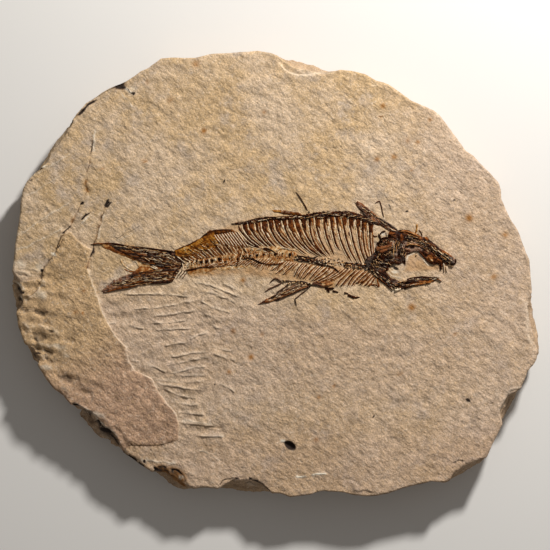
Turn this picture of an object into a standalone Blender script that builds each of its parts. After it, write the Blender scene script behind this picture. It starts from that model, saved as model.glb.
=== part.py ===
"""A fossil fish slab: a small fish, belly up, on a loose plate of pale limestone.

Run it with blender --background --python part.py, or from Blender's text editor.

The slab lies on its flat back. +X runs along the fish towards its snout, +Y across the slab
towards the fish's belly, and +Z is up. The origin is on the resting plane, under the middle
of the slab. Sizes and places are in millimetres, and the meshes are made in metres.
"""

import math

import bmesh
import bpy
from mathutils import Matrix, Vector, noise

MM = 0.001

# The stone plate
SLAB_THICKNESS = 10.6  # from the back to the split face that carries the fish
LAYER_RISE = 0.7  # the overlying layer that the split left on at the lower left
LAYER_ROOT = 2.4  # how deep that layer's solid reaches into the plate, to join it
STONE_CELL = 3.4  # spacing of the points that carry the split face's relief
HOLE_CENTRE = (4.2, -48.1)  # a small pit below the fish
HOLE_RADII = (1.7, 1.05, 0.9)
HOLE_TURN = math.radians(-35.0)

# The bones
CLEARANCE = 0.3  # between a bone's underside and the stone that it lies on
THIN_BONE = 0.5
BONE = 0.6
HEAVY_BONE = 0.8
BONE_CELL = 4.2
HEAD_CELL = 1.5
CRUSH = 0.35  # how far the crushed head's faces stand up and down
CRUSH_SIZE = 2.1
RIB_COUNT = 20
RIB_TOPS = (-8.9, 24.9)  # x of the first and the last rib, on the scute row
RIB_LEANS = (5.1, 1.5)  # how far the first and the last rib's foot is ahead of its top
RIB_WIDTHS = (0.75, 0.32)
VERTEBRA_COUNT = 30
VERTEBRA_HALF_WIDTHS = (0.82, 0.6)  # at the drum's rims and at its waist
REAR_BELLY_SPINES = range(1, 9)  # the vertebrae with a spine on the belly side too
SPINE_WIDTHS = (0.5, 0.26)
SCUTE_HALF_WIDTH = 0.55
SCUTE_POINT = 0.45

# The slab's outline at its widest, clockwise from the right end
RIM = [
    (72.1, -0.3), (72.8, -7.3), (73.2, -12.1), (74.7, -18.0), (75.0, -21.1), (74.6, -22.8),
    (72.6, -26.1), (71.5, -27.2), (68.3, -34.6), (66.4, -37.6), (62.8, -45.2), (60.8, -49.2),
    (59.6, -52.0), (58.3, -53.7), (54.9, -55.3), (52.1, -57.2), (47.9, -59.0), (44.0, -58.6),
    (36.4, -60.5), (31.6, -62.1), (27.1, -62.9), (22.3, -62.6), (19.5, -61.8), (13.3, -61.4),
    (9.1, -62.5), (4.1, -63.1), (1.5, -62.2), (-8.3, -61.8), (-15.0, -61.0), (-19.8, -60.5),
    (-26.5, -61.2), (-29.1, -60.1), (-32.4, -57.6), (-38.6, -53.7), (-43.7, -50.0),
    (-47.1, -48.6), (-50.7, -45.8), (-53.2, -43.0), (-57.4, -37.4), (-59.7, -34.6),
    (-62.8, -32.3), (-64.7, -29.8), (-67.6, -25.3), (-69.5, -23.3), (-71.2, -18.8),
    (-72.6, -14.9), (-73.2, -11.0), (-74.6, -6.5), (-75.0, -2.5), (-74.0, 4.5), (-73.7, 7.6),
    (-72.3, 16.6), (-71.9, 20.8), (-71.2, 24.4), (-70.1, 26.4), (-67.6, 28.9), (-65.3, 32.6),
    (-63.6, 36.0), (-60.0, 40.4), (-57.7, 43.0), (-56.3, 45.2), (-53.5, 48.3), (-48.7, 51.5),
    (-46.5, 52.7), (-42.3, 54.5), (-38.3, 57.2), (-35.8, 58.4), (-32.2, 61.0), (-28.2, 61.2),
    (-22.6, 61.1), (-18.7, 62.2), (-12.8, 62.6), (-4.9, 63.1), (-1.5, 62.6), (1.5, 61.5),
    (9.4, 59.7), (15.3, 58.0), (21.5, 57.6), (25.1, 56.7), (28.5, 54.8), (31.9, 53.8),
    (38.6, 49.0), (44.8, 46.3), (46.5, 44.9), (53.8, 35.0), (56.0, 33.4), (60.3, 28.9),
    (63.1, 25.8), (63.8, 23.6), (63.9, 21.1), (66.6, 15.2), (68.5, 12.5), (70.1, 8.1),
    (71.8, 3.9),
]

# How the side is dressed: height above the back, and how far inside the outline it runs
SIDE_RINGS = [(0.0, 3.2), (2.6, 1.1), (5.6, 0.0), (8.4, 0.25)]
SIDE_ROUGHNESS = 0.75
LIP_INSET = 0.4

# Where the edge of the split face has flaked away: middle and half width in degrees from +X,
# and how far inside the outline the face ends there
FLAKES = [
    (-45.5, 4.5, 1.8), (-29.3, 4.0, 2.2), (-11.0, 7.0, 1.6), (81.0, 8.5, 2.0),
    (150.0, 7.0, 1.7), (184.0, 4.5, 2.8), (198.3, 2.6, 2.0), (221.0, 8.5, 3.6),
    (243.5, 5.5, 2.2), (262.0, 7.0, 3.2),
]

# The overlying layer: its free edge across the face, then its end along the slab's rim
LAYER = [
    (-57.7, 11.8), (-55.5, 9.3), (-53.8, 7.9), (-51.8, 6.9), (-52.4, 4.2), (-52.9, 1.7),
    (-51.9, -1.5), (-49.9, -6.5), (-48.5, -11.2), (-46.8, -14.3), (-44.5, -18.0),
    (-42.0, -20.5), (-41.4, -24.2), (-39.5, -27.2), (-34.7, -29.5), (-33.0, -33.1),
    (-30.8, -36.0), (-28.2, -39.0), (-27.2, -42.4), (-27.4, -46.6), (-30.8, -47.6),
    (-34.7, -48.3), (-40.6, -48.0), (-42.6, -49.6), (-43.7, -48.6), (-44.0, -46.6),
    (-46.0, -45.2), (-47.1, -43.2), (-50.1, -42.4), (-51.5, -40.4), (-52.7, -38.5),
    (-54.9, -36.8), (-57.2, -36.1), (-59.5, -33.9), (-62.4, -31.4), (-64.2, -29.2),
    (-66.9, -24.9), (-68.8, -22.2), (-70.3, -18.4), (-71.7, -14.6), (-71.9, -11.0),
    (-70.9, -8.1), (-69.0, -7.1), (-68.4, -5.3), (-65.6, -1.4), (-65.3, 1.1),
    (-61.7, 6.2), (-60.0, 11.0),
]

# The fish, from the tail to the snout
COLUMN = [
    (-25.7, 2.4), (-21.2, 3.5), (-15.6, 4.2), (-10.0, 4.8), (-3.8, 5.5), (4.1, 5.2),
    (9.7, 4.2), (14.5, 3.5), (19.5, 2.9), (24.3, 2.1), (27.3, 1.3),
]
BACK_LINE = [
    (-28.0, 0.4), (-20.1, -0.2), (-13.1, -0.3), (-7.4, -0.4), (-1.0, -0.9), (3.0, -1.2),
    (9.5, -1.3), (12.5, -2.3), (18.1, -3.2), (22.1, -3.4), (26.0, -3.3),
]
BACK_SLANTS = [(-25.0, 2.0), (-17.0, 3.1), (4.0, 3.9), (14.0, 5.2), (19.5, 6.6), (27.0, 2.0)]
REAR_BELLY_LINE = [(-27.0, 4.6), (-24.6, 5.0), (-21.2, 5.8), (-17.4, 6.9), (-14.2, 8.3), (-10.0, 9.2)]
REAR_BELLY_SLANT = 2.2
SCUTE_ROW = [
    (-11.1, 14.2), (-8.8, 14.6), (-5.8, 15.2), (-1.5, 15.9), (2.7, 16.2), (6.0, 16.6),
    (9.4, 17.1), (13.9, 17.6), (19.0, 17.6), (21.5, 16.9), (25.4, 15.4),
]
RIB_FEET = [
    (-3.8, 7.2), (-0.1, 7.6), (4.1, 7.2), (8.3, 6.5), (11.9, 5.7), (15.3, 6.1), (18.1, 5.6),
    (20.9, 4.5), (23.7, 4.1), (26.3, 3.8), (27.4, 4.8),
]
TAIL_FIN = [
    (-26.9, 2.9), (-27.9, 5.6), (-31.6, 6.7), (-35.3, 7.4), (-39.6, 7.7), (-42.8, 8.4),
    (-45.9, 8.9), (-47.3, 9.0), (-50.1, 8.4), (-48.5, 7.7), (-44.5, 6.3), (-43.1, 5.6),
    (-40.3, 4.2), (-38.1, 3.4), (-38.4, 2.3), (-39.2, 0.4), (-40.6, 0.2), (-42.8, -0.5),
    (-45.4, -1.6), (-47.1, -2.8), (-48.5, -4.0), (-49.0, -5.3), (-45.5, -4.3), (-42.1, -3.7),
    (-39.2, -3.0), (-35.1, -2.4), (-31.7, -2.2), (-29.4, -2.0), (-28.8, -0.2),
]
ANAL_FIN = [
    (-26.7, 6.9), (-25.4, 7.6), (-23.2, 8.7), (-21.2, 9.9), (-19.7, 11.2), (-19.0, 11.8),
    (-16.8, 12.4), (-12.9, 12.6), (-12.4, 11.9), (-14.2, 10.7), (-16.7, 9.2), (-18.7, 8.0),
    (-21.4, 7.0), (-24.6, 6.2), (-26.6, 6.0),
]
DORSAL_BASE = [(1.2, -2.4), (4.0, -2.4), (7.7, -2.4), (9.6, -2.7), (12.5, -3.6), (14.3, -4.2)]
DORSAL_BLADE = [
    (-4.8, -8.5), (-3.0, -7.2), (2.0, -4.7), (6.4, -2.6), (9.0, -3.2), (5.4, -5.4), (0.7, -7.5),
]
DORSAL_RAYS = [
    [(1.6, -2.3), (0.2, -2.0), (-1.4, -2.6)], [(1.8, -2.6), (-0.6, -3.8), (-3.0, -4.9)],
    [(4.3, -2.4), (1.6, -4.0), (-1.6, -5.4)], [(9.9, -3.0), (7.9, -5.0), (5.6, -6.9)],
]
PECTORAL_FIN = [
    (22.4, 19.8), (23.0, 20.4), (24.3, 19.8), (26.9, 17.7), (29.5, 15.5), (31.4, 14.1),
    (32.4, 13.2), (31.6, 12.7), (29.9, 13.6), (28.2, 14.7), (26.6, 16.1), (24.5, 17.5),
    (23.0, 19.1),
]
PELVIC_FIN = [(-1.0, 18.3), (1.8, 18.7), (4.6, 18.4), (6.9, 17.9), (5.8, 17.7), (2.4, 17.6)]
GILL_COVER_AND_JAWS = [
    (28.6, 4.9), (29.0, 7.0), (30.0, 8.3), (31.3, 8.8), (32.7, 8.9), (33.7, 9.7), (32.4, 10.5),
    (31.9, 11.3), (33.3, 11.9), (35.5, 12.3), (37.3, 12.2), (40.9, 10.6), (42.3, 10.5),
    (43.6, 9.3), (46.3, 7.1), (49.5, 5.0), (50.6, 3.6), (50.4, 2.8), (48.2, 2.6), (47.3, 3.2),
    (46.6, 1.4), (46.1, 2.9), (43.0, 3.4), (41.4, 5.5), (39.5, 6.6), (36.9, 5.7), (36.4, 4.6),
    (36.0, 3.2), (34.1, 3.2), (32.6, 2.8), (31.4, 1.5), (30.2, 1.3),
]
SKULL_ROOF = [
    (28.5, -0.1), (29.4, 0.3), (31.0, 0.1), (33.2, -1.5), (35.5, -2.4), (36.9, -2.2),
    (37.3, -1.3), (39.1, -1.0), (41.7, -0.8), (45.2, -1.2), (44.5, -2.0), (41.9, -2.4),
    (39.1, -3.0), (36.6, -3.9), (33.0, -4.5), (31.4, -3.6), (29.2, -1.7),
]

# Loose bones, each a slender bar along its own line: name, line, widths at its two ends
LOOSE_BONES = [
    ("belly_ray", [(5.9, 22.8), (7.2, 20.9), (8.7, 18.5)], (0.3, 0.42)),
    ("pectoral_ray", [(28.0, 19.9), (29.2, 20.7), (29.9, 18.3), (30.3, 16.4)], (0.36, 0.3)),
    ("throat_spine", [(39.8, 14.0), (39.7, 13.0), (39.4, 12.1)], (0.34, 0.62)),
    ("shoulder_bone", [(28.6, 11.4), (29.5, 10.8), (30.4, 11.0), (30.7, 10.2)], (0.4, 0.56)),
    ("bone_scrap_1", [(14.3, -5.2), (15.0, -4.8), (15.8, -5.0)], (0.5, 0.7)),
    ("bone_scrap_2", [(16.3, -5.6), (17.0, -5.9), (17.9, -6.1)], (0.34, 0.42)),
    ("bone_scrap_3", [(20.7, -6.0), (21.6, -6.3), (22.4, -6.8)], (0.44, 0.6)),
    ("bone_scrap_4", [(22.9, -7.0), (23.7, -6.8)], (0.5, 0.4)),
]

LIMESTONE = ("limestone", (0.60, 0.46, 0.32), 0.85)
DARK_BONE = ("dark_bone", (0.07, 0.035, 0.02), 0.45)
RUST_BONE = ("rust_bone", (0.20, 0.085, 0.035), 0.5)
AMBER_BONE = ("amber_bone", (0.36, 0.17, 0.05), 0.5)


def clear_scene():
    """Remove every object of the open scene."""
    for thing in list(bpy.data.objects):
        bpy.data.objects.remove(thing, do_unlink=True)


def material_of(recipe):
    """The material of a (name, colour, roughness) recipe, made once."""
    name, colour, roughness = recipe
    material = bpy.data.materials.get(name)
    if material is None:
        material = bpy.data.materials.new(name)
        material.use_nodes = True
        shader = material.node_tree.nodes["Principled BSDF"]
        shader.inputs["Base Color"].default_value = (*colour, 1.0)
        shader.inputs["Roughness"].default_value = roughness
    return material


def object_from(mesh, name, recipe):
    """A scene object with this bmesh, scaled to metres, and this finish."""
    bmesh.ops.recalc_face_normals(mesh, faces=mesh.faces)
    bmesh.ops.scale(mesh, vec=(MM, MM, MM), verts=mesh.verts)
    data = bpy.data.meshes.new(name)
    mesh.to_mesh(data)
    mesh.free()
    data.materials.append(material_of(recipe))
    thing = bpy.data.objects.new(name, data)
    bpy.context.collection.objects.link(thing)
    return thing


def along(path, x):
    """The height of a line of (x, y) points at this x, held level past its ends."""
    if x <= path[0][0]:
        return path[0][1]
    for (x0, y0), (x1, y1) in zip(path, path[1:]):
        if x <= x1:
            return y0 + (y1 - y0) * (x - x0) / (x1 - x0)
    return path[-1][1]


def wave(x, y, heading, length, phase):
    """A long swell across the face: its heading in degrees and its length in millimetres."""
    turn = math.radians(heading)
    return math.sin(math.tau * (x * math.cos(turn) + y * math.sin(turn)) / length + phase)


def split_face(x, y):
    """The height of the stone's split face, without the overlying layer."""
    swell = 0.20 * wave(x, y, 20.0, 84.0, 0.6)
    swell += 0.14 * wave(x, y, 115.0, 61.0, 2.1)
    swell += 0.07 * wave(x, y, 70.0, 43.0, 1.0)
    return SLAB_THICKNESS + swell


def closeness(angle, middle, half_width):
    """1 at the middle of a stretch of the rim, falling smoothly to 0 at its ends."""
    away = abs((angle - middle + 180.0) % 360.0 - 180.0) / half_width
    return 0.0 if away >= 1.0 else min(1.0, 2.0 * (1.0 - away))


def lip_inset(angle):
    """How far inside the outline the split face ends, at this angle from +X in degrees."""
    return LIP_INSET + sum(depth * closeness(angle, middle, half) for middle, half, depth in FLAKES)


def side_ring(height, inset, rough):
    """The rim's points at one height, drawn in towards the middle and roughened."""
    points = []
    for x, y in RIM:
        reach = math.hypot(x, y)
        dent = rough * (0.5 + 0.5 * noise.noise(Vector((x, y, 3.0 * height)) * 0.16))
        keep = 1.0 - (inset + dent) / reach
        points.append(Vector((x * keep, y * keep, height)))
    return points


def lip_ring():
    """The edge of the split face, which is drawn in where flakes have left it."""
    points = []
    for x, y in RIM:
        reach = math.hypot(x, y)
        keep = 1.0 - lip_inset(math.degrees(math.atan2(y, x))) / reach
        points.append(Vector((x * keep, y * keep, SLAB_THICKNESS)))
    return points


def slice_into_cells(mesh, cell, faces=None):
    """Cut the faces along a square grid, so that they can follow the stone's relief."""
    faces = list(faces or mesh.faces)
    for axis in (0, 1):
        spans = [vert.co[axis] for face in faces for vert in face.verts]
        normal = Vector((1.0, 0.0, 0.0)) if axis == 0 else Vector((0.0, 1.0, 0.0))
        for step in range(math.ceil(min(spans) / cell), math.floor(max(spans) / cell) + 1):
            faces = [face for face in faces if face.is_valid]
            edges = {edge for face in faces for edge in face.edges}
            verts = {vert for face in faces for vert in face.verts}
            cut = bmesh.ops.bisect_plane(
                mesh, geom=[*faces, *edges, *verts], dist=1e-5,
                plane_co=normal * (step * cell), plane_no=normal,
            )
            faces = [piece for piece in cut["geom"] if isinstance(piece, bmesh.types.BMFace)]


def prism_mesh(outline, height):
    """A closed bmesh with this outline, standing on z = 0."""
    mesh = bmesh.new()
    base = mesh.faces.new([mesh.verts.new((x, y, 0.0)) for x, y in outline])
    raised = bmesh.ops.extrude_face_region(mesh, geom=[base])["geom"]
    tops = [vert for vert in raised if isinstance(vert, bmesh.types.BMVert)]
    bmesh.ops.translate(mesh, verts=tops, vec=(0.0, 0.0, height))
    return mesh


def laid_bone(name, outline, thickness, recipe, lift=0.0, cell=BONE_CELL, crush=0.0):
    """A flat bone that follows the stone under it, at the clearance plus any lift.

    Its upper face is level with the stone, or crumpled by up to crush.
    """
    mesh = prism_mesh(outline, thickness)
    slice_into_cells(mesh, cell)
    for vert in mesh.verts:
        x, y, z = vert.co
        if z > thickness / 2.0:
            z += crush * noise.noise(Vector((x, y, 7.0)) / CRUSH_SIZE)
        vert.co.z = z + split_face(x, y) + CLEARANCE + lift
    bmesh.ops.triangulate(mesh, faces=mesh.faces)
    return object_from(mesh, name, recipe)


def quadratic(start, bend, end, share):
    """A point of the curve that leaves start towards bend and arrives at end."""
    rest = 1.0 - share
    return start * rest * rest + bend * 2.0 * rest * share + end * share * share


def tooth(root, tip, widths, lean=0.0, steps=3):
    """The outline of one spine or rib, from the left of its root round its tip.

    lean is how far its root heads straight across, as a share of its length, before it turns
    to its tip. widths are those of the root and of the tip.
    """
    root = Vector(root)
    tip = Vector(tip)
    bend = root.lerp(tip, 0.5)
    bend.x += (root.x - bend.x) * lean
    left = []
    right = []
    for step in range(steps + 1):
        share = step / steps
        middle = quadratic(root, bend, tip, share)
        heading = (quadratic(root, bend, tip, share + 0.02) - middle).normalized()
        side = Vector((-heading.y, heading.x)) * (widths[0] + (widths[1] - widths[0]) * share) / 2.0
        left.append(middle + side)
        right.append(middle - side)
    return [*left, *reversed(right)]


def bar(line, widths):
    """The outline of a slender bar along a line, with its widths at the line's two ends."""
    points = [Vector(point) for point in line]
    left = []
    right = []
    for number, point in enumerate(points):
        before = points[max(number - 1, 0)]
        after = points[min(number + 1, len(points) - 1)]
        heading = (after - before).normalized()
        share = number / (len(points) - 1)
        side = Vector((-heading.y, heading.x)) * (widths[0] + (widths[1] - widths[0]) * share) / 2.0
        left.append(point + side)
        right.append(point - side)
    return [*left, *reversed(right)]


def build_hole_cutter():
    """The small pit in the split face, as a closed lens that is cut away."""
    mesh = bmesh.new()
    bmesh.ops.create_icosphere(mesh, subdivisions=2, radius=1.0)
    bmesh.ops.scale(mesh, vec=HOLE_RADII, verts=mesh.verts)
    bmesh.ops.rotate(mesh, matrix=Matrix.Rotation(HOLE_TURN, 3, "Z"), verts=mesh.verts)
    bmesh.ops.translate(mesh, vec=(*HOLE_CENTRE, split_face(*HOLE_CENTRE)), verts=mesh.verts)
    return object_from(mesh, "hole_cutter", LIMESTONE)


def build_layer():
    """The overlying layer that the split left on the lower left of the face."""
    mesh = prism_mesh(LAYER, LAYER_ROOT + LAYER_RISE)
    slice_into_cells(mesh, STONE_CELL)
    for vert in mesh.verts:
        vert.co.z += split_face(vert.co.x, vert.co.y) - LAYER_ROOT
    bmesh.ops.triangulate(mesh, faces=mesh.faces)
    return object_from(mesh, "overlying_layer", LIMESTONE)


def build_slab():
    """The stone plate: side rings bridged from its flat back up to the lip of its face."""
    mesh = bmesh.new()
    rings = [side_ring(height, inset, SIDE_ROUGHNESS if inset else 0.0) for height, inset in SIDE_RINGS]
    rings.append(lip_ring())
    loops = []
    for ring in rings:
        verts = [mesh.verts.new(point) for point in ring]
        loops.append([mesh.edges.new((vert, verts[number - 1])) for number, vert in enumerate(verts)])
    for lower, upper in zip(loops, loops[1:]):
        bmesh.ops.bridge_loops(mesh, edges=[*lower, *upper])
    bmesh.ops.contextual_create(mesh, geom=loops[0])
    face = bmesh.ops.contextual_create(mesh, geom=loops[-1])["faces"]
    slice_into_cells(mesh, STONE_CELL, face)
    for vert in mesh.verts:
        if vert.co.z > SIDE_RINGS[-1][0] + 1.0:
            vert.co.z = split_face(vert.co.x, vert.co.y)
    bmesh.ops.triangulate(mesh, faces=mesh.faces)
    slab = object_from(mesh, "stone_slab", LIMESTONE)
    add_boolean(slab, build_layer(), "UNION")
    add_boolean(slab, build_hole_cutter(), "DIFFERENCE")
    return slab


def add_boolean(thing, other, operation):
    """Join other to thing or cut it from it, and keep other as a hidden guide."""
    modifier = thing.modifiers.new(operation.lower(), "BOOLEAN")
    modifier.operation = operation
    modifier.object = other
    other.hide_render = True
    other.display_type = "WIRE"


def build_belly_ribs():
    """The scute row along the belly's edge with its ribs, which run in towards the column."""
    upper = []
    lower = []
    first, last = SCUTE_ROW[0][0], SCUTE_ROW[-1][0]
    spacing = (RIB_TOPS[1] - RIB_TOPS[0]) / (RIB_COUNT - 1)
    for number in range(RIB_COUNT + 1):
        x = first + (last - first) * number / RIB_COUNT
        y = along(SCUTE_ROW, x)
        upper.append((x, y + SCUTE_HALF_WIDTH + SCUTE_POINT))
        upper.append((min(x + 0.3 * spacing, last), y + SCUTE_HALF_WIDTH))
    for number in reversed(range(RIB_COUNT)):
        share = number / (RIB_COUNT - 1)
        x = RIB_TOPS[0] + (RIB_TOPS[1] - RIB_TOPS[0]) * share
        foot = x + RIB_LEANS[0] + (RIB_LEANS[1] - RIB_LEANS[0]) * share
        root = (x, along(SCUTE_ROW, x) - SCUTE_HALF_WIDTH)
        lower += tooth(root, (foot, along(RIB_FEET, foot)), RIB_WIDTHS, lean=0.8, steps=4)
    return laid_bone("belly_ribs", [*upper, *lower], BONE, DARK_BONE)


def build_backbone():
    """The column of vertebrae, waisted between its drums, with its spines to both sides."""
    first, last = COLUMN[0][0], COLUMN[-1][0]
    pitch = (last - first) / VERTEBRA_COUNT
    rim, waist = VERTEBRA_HALF_WIDTHS
    upper = []
    lower = []
    for number in range(VERTEBRA_COUNT):
        start = first + pitch * number
        for share in (0.3, 0.7):
            x = start + pitch * share
            upper.append((x, along(COLUMN, x) + rim))
            lower.append((x, along(COLUMN, x) - rim))
        x = start + pitch
        if number in REAR_BELLY_SPINES:
            tip = x - REAR_BELLY_SLANT
            root = (x, along(COLUMN, x) + rim)
            upper += tooth(root, (tip, along(REAR_BELLY_LINE, tip)), SPINE_WIDTHS)
        else:
            upper.append((x, along(COLUMN, x) + waist))
        if number < VERTEBRA_COUNT - 1:
            tip = x - along(BACK_SLANTS, x)
            root = (x, along(COLUMN, x) - rim)
            lower += reversed(tooth(root, (tip, along(BACK_LINE, tip)), SPINE_WIDTHS))
    return laid_bone("backbone", [*upper, *reversed(lower)], HEAVY_BONE, RUST_BONE)


def build_dorsal_fin():
    """The back fin: a folded blade of rays, with free rays, on the row that carries it."""
    fin = laid_bone("dorsal_fin", bar(DORSAL_BASE, (0.6, 0.5)), BONE, DARK_BONE)
    blade = laid_bone("dorsal_blade", DORSAL_BLADE, BONE, DARK_BONE, lift=0.04)
    add_boolean(fin, blade, "UNION")
    for number, ray in enumerate(DORSAL_RAYS):
        lift = 0.08 + 0.04 * number
        other = laid_bone(f"dorsal_ray_{number}", bar(ray, (0.42, 0.3)), THIN_BONE, DARK_BONE, lift)
        add_boolean(fin, other, "UNION")
    return fin


def main():
    """Build the slab and then the fish's bones on it."""
    clear_scene()
    build_slab()
    build_backbone()
    build_belly_ribs()
    build_dorsal_fin()
    laid_bone("tail_fin", TAIL_FIN, BONE, DARK_BONE)
    laid_bone("anal_fin", ANAL_FIN, THIN_BONE, AMBER_BONE)
    laid_bone("pectoral_fin", PECTORAL_FIN, BONE, DARK_BONE)
    laid_bone("pelvic_fin", PELVIC_FIN, THIN_BONE, AMBER_BONE)
    laid_bone("gill_cover_and_jaws", GILL_COVER_AND_JAWS, HEAVY_BONE, DARK_BONE, 0.0, HEAD_CELL, CRUSH)
    laid_bone("skull_roof", SKULL_ROOF, HEAVY_BONE, DARK_BONE, 0.0, HEAD_CELL, CRUSH)
    for name, line, widths in LOOSE_BONES:
        recipe = AMBER_BONE if name == "throat_spine" else DARK_BONE
        laid_bone(name, bar(line, widths), THIN_BONE, recipe)


main()
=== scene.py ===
"""The looks of a fossil fish slab: a small fish, belly up, on a loose plate of pale limestone.

The slab lies on its flat back. +X runs along the fish towards its snout, +Y across the slab
towards the fish's belly, and +Z is up. Sizes and places are in millimetres, and the meshes
are made in metres.
"""

import logging
import math
from collections.abc import Sequence
from dataclasses import dataclass
from enum import Enum

import bmesh
import bpy
import numpy as np
from mathutils import Matrix, Vector, noise


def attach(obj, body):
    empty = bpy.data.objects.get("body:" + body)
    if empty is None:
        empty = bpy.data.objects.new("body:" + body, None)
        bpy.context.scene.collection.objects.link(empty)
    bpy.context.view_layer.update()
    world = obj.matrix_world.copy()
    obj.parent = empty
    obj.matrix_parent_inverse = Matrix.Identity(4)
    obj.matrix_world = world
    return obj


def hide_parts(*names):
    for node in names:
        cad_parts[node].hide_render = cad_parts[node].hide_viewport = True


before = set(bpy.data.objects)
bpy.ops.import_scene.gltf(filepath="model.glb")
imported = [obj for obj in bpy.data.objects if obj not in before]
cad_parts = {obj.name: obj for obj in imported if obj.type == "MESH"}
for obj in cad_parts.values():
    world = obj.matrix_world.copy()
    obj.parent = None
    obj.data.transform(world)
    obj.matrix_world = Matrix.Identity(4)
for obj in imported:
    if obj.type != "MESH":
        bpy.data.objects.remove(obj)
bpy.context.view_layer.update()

log = logging.getLogger("fossil_fish_slab")

Point = tuple[float, float]
Line = Sequence[Point]
Row = tuple[int, ...]
Rows = tuple[tuple, ...]
Mix = tuple[Point, float, float]
Sector = tuple[float, float, float]
Colour = tuple[float, float, float]
Array = np.ndarray

MM = 0.001
HUNDREDTHS = 100.0
SEED = 7

# The plate, as in the construction
SLAB_THICKNESS = 10.6
LAYER_RISE = 0.7


def path(*numbers: int) -> list[Point]:
    """A line in millimetres, from the x and y of each point in hundredths of a millimetre."""
    return [(x / HUNDREDTHS, y / HUNDREDTHS) for x, y in zip(numbers[::2], numbers[1::2])]


def paths(*rows: Row) -> list[Line]:
    """A line for each row of hundredths."""
    return [path(*row) for row in rows]


RIM: Line = path(
    7210, -30, 7280, -730, 7320, -1210, 7470, -1800, 7500, -2110, 7460, -2280, 7260, -2610, 7150, -2720,
    6830, -3460, 6640, -3760, 6280, -4520, 6080, -4920, 5960, -5200, 5830, -5370, 5490, -5530, 5210,
    -5720, 4790, -5900, 4400, -5860, 3640, -6050, 3160, -6210, 2710, -6290, 2230, -6260, 1950, -6180,
    1330, -6140, 910, -6250, 410, -6310, 150, -6220, -830, -6180, -1500, -6100, -1980, -6050, -2650,
    -6120, -2910, -6010, -3240, -5760, -3860, -5370, -4370, -5000, -4710, -4860, -5070, -4580, -5320,
    -4300, -5740, -3740, -5970, -3460, -6280, -3230, -6470, -2980, -6760, -2530, -6950, -2330, -7120,
    -1880, -7260, -1490, -7320, -1100, -7460, -650, -7500, -250, -7400, 450, -7370, 760, -7230, 1660,
    -7190, 2080, -7120, 2440, -7010, 2640, -6760, 2890, -6530, 3260, -6360, 3600, -6000, 4040, -5770,
    4300, -5630, 4520, -5350, 4830, -4870, 5150, -4650, 5270, -4230, 5450, -3830, 5720, -3580, 5840,
    -3220, 6100, -2820, 6120, -2260, 6110, -1870, 6220, -1280, 6260, -490, 6310, -150, 6260, 150, 6150,
    940, 5970, 1530, 5800, 2150, 5760, 2510, 5670, 2850, 5480, 3190, 5380, 3860, 4900, 4480, 4630, 4650,
    4490, 5380, 3500, 5600, 3340, 6030, 2890, 6310, 2580, 6380, 2360, 6390, 2110, 6660, 1520, 6850, 1250,
    7010, 810, 7180, 390,
)
FLAKES = [
    (-45.5, 4.5, 1.8), (-29.3, 4.0, 2.2), (-11.0, 7.0, 1.6), (81.0, 8.5, 2.0),
    (150.0, 7.0, 1.7), (184.0, 4.5, 2.8), (198.3, 2.6, 2.0), (221.0, 8.5, 3.6),
    (243.5, 5.5, 2.2), (262.0, 7.0, 3.2),
]
LAYER: Line = path(
    -5770, 1180, -5550, 930, -5380, 790, -5180, 690, -5240, 420, -5290, 170, -5190, -150, -4990, -650,
    -4850, -1120, -4680, -1430, -4450, -1800, -4200, -2050, -4140, -2420, -3950, -2720, -3470, -2950,
    -3300, -3310, -3080, -3600, -2820, -3900, -2720, -4240, -2740, -4660, -3080, -4760, -3470, -4830,
    -4060, -4800, -4260, -4960, -4800, -5600, -8000, -5000, -8400, -400, -6560, -140, -6530, 110, -6170,
    620, -6000, 1100,
)
RIPPLED: Line = path(
    -4850, -390, -3530, -280, -1980, -250, -1000, -450, -1050, -1070, -1390, -1850, -1500, -2700, -1620,
    -3540, -1450, -4380, -1980, -4720, -2910, -4490, -3300, -3540, -3530, -2420, -4310, -1570, -4820,
    -1010,
)
LIP_INSET = 0.4
CREST_TOP = 11.8
CREST_EASE = 0.12
WIDEST_HEIGHT = 5.6


class Form(Enum):
    """What a crease of the split face looks like across its line."""

    CRACK = "crack"
    RIDGE = "ridge"
    STEP = "step"


@dataclass(frozen=True)
class Crease:
    """A sharp line on the split face.

    rise is its height or depth, reach how far to its side it is felt. dark is how much shade is
    painted in it, rust how much rust-brown filling it holds, and pale how much highlight is painted
    on its crest. A step is high on the left of its line.
    """

    form: Form
    line: Line
    rise: float
    reach: float
    dark: float = 0.0
    rust: float = 0.0
    pale: float = 0.0
    pull: float = 0.7


@dataclass(frozen=True)
class Spot:
    """A small pit or stain on the split face: its dark is mostly painted shade in the pit, its pale and rust
    the stone's own colour.
    """

    place: Point
    radii: Point
    turn: float = 0.0
    depth: float = 0.0
    dark: float = 0.0
    pale: float = 0.0
    rust: float = 0.0


@dataclass(frozen=True)
class Zone:
    """A soft-edged patch of another tint: its outline, the width of its edge, its strength."""

    outline: Line
    edge: float
    strength: float


def crack(line: Row, rise: float, reach: float, dark: float = 0.0, rust: float = 0.0) -> Crease:
    """A crack, with how much shade is painted dark in it and how rusty it is."""
    return Crease(Form.CRACK, path(*line), rise, reach, dark, rust)


def ridge(line: Row, rise: float, reach: float, pale: float, pull: float = 0.7) -> Crease:
    """A raised fold, with how strongly its crest is painted pale as a highlight."""
    return Crease(Form.RIDGE, path(*line), rise, reach, pale=pale, pull=pull)


def step(line: Row, rise: float, reach: float, dark: float = 0.0, pale: float = 0.0) -> Crease:
    """The edge of a flake, high on the left of its line, with shade and a highlight painted along it."""
    return Crease(Form.STEP, path(*line), rise, reach, dark, pale=pale)


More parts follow.
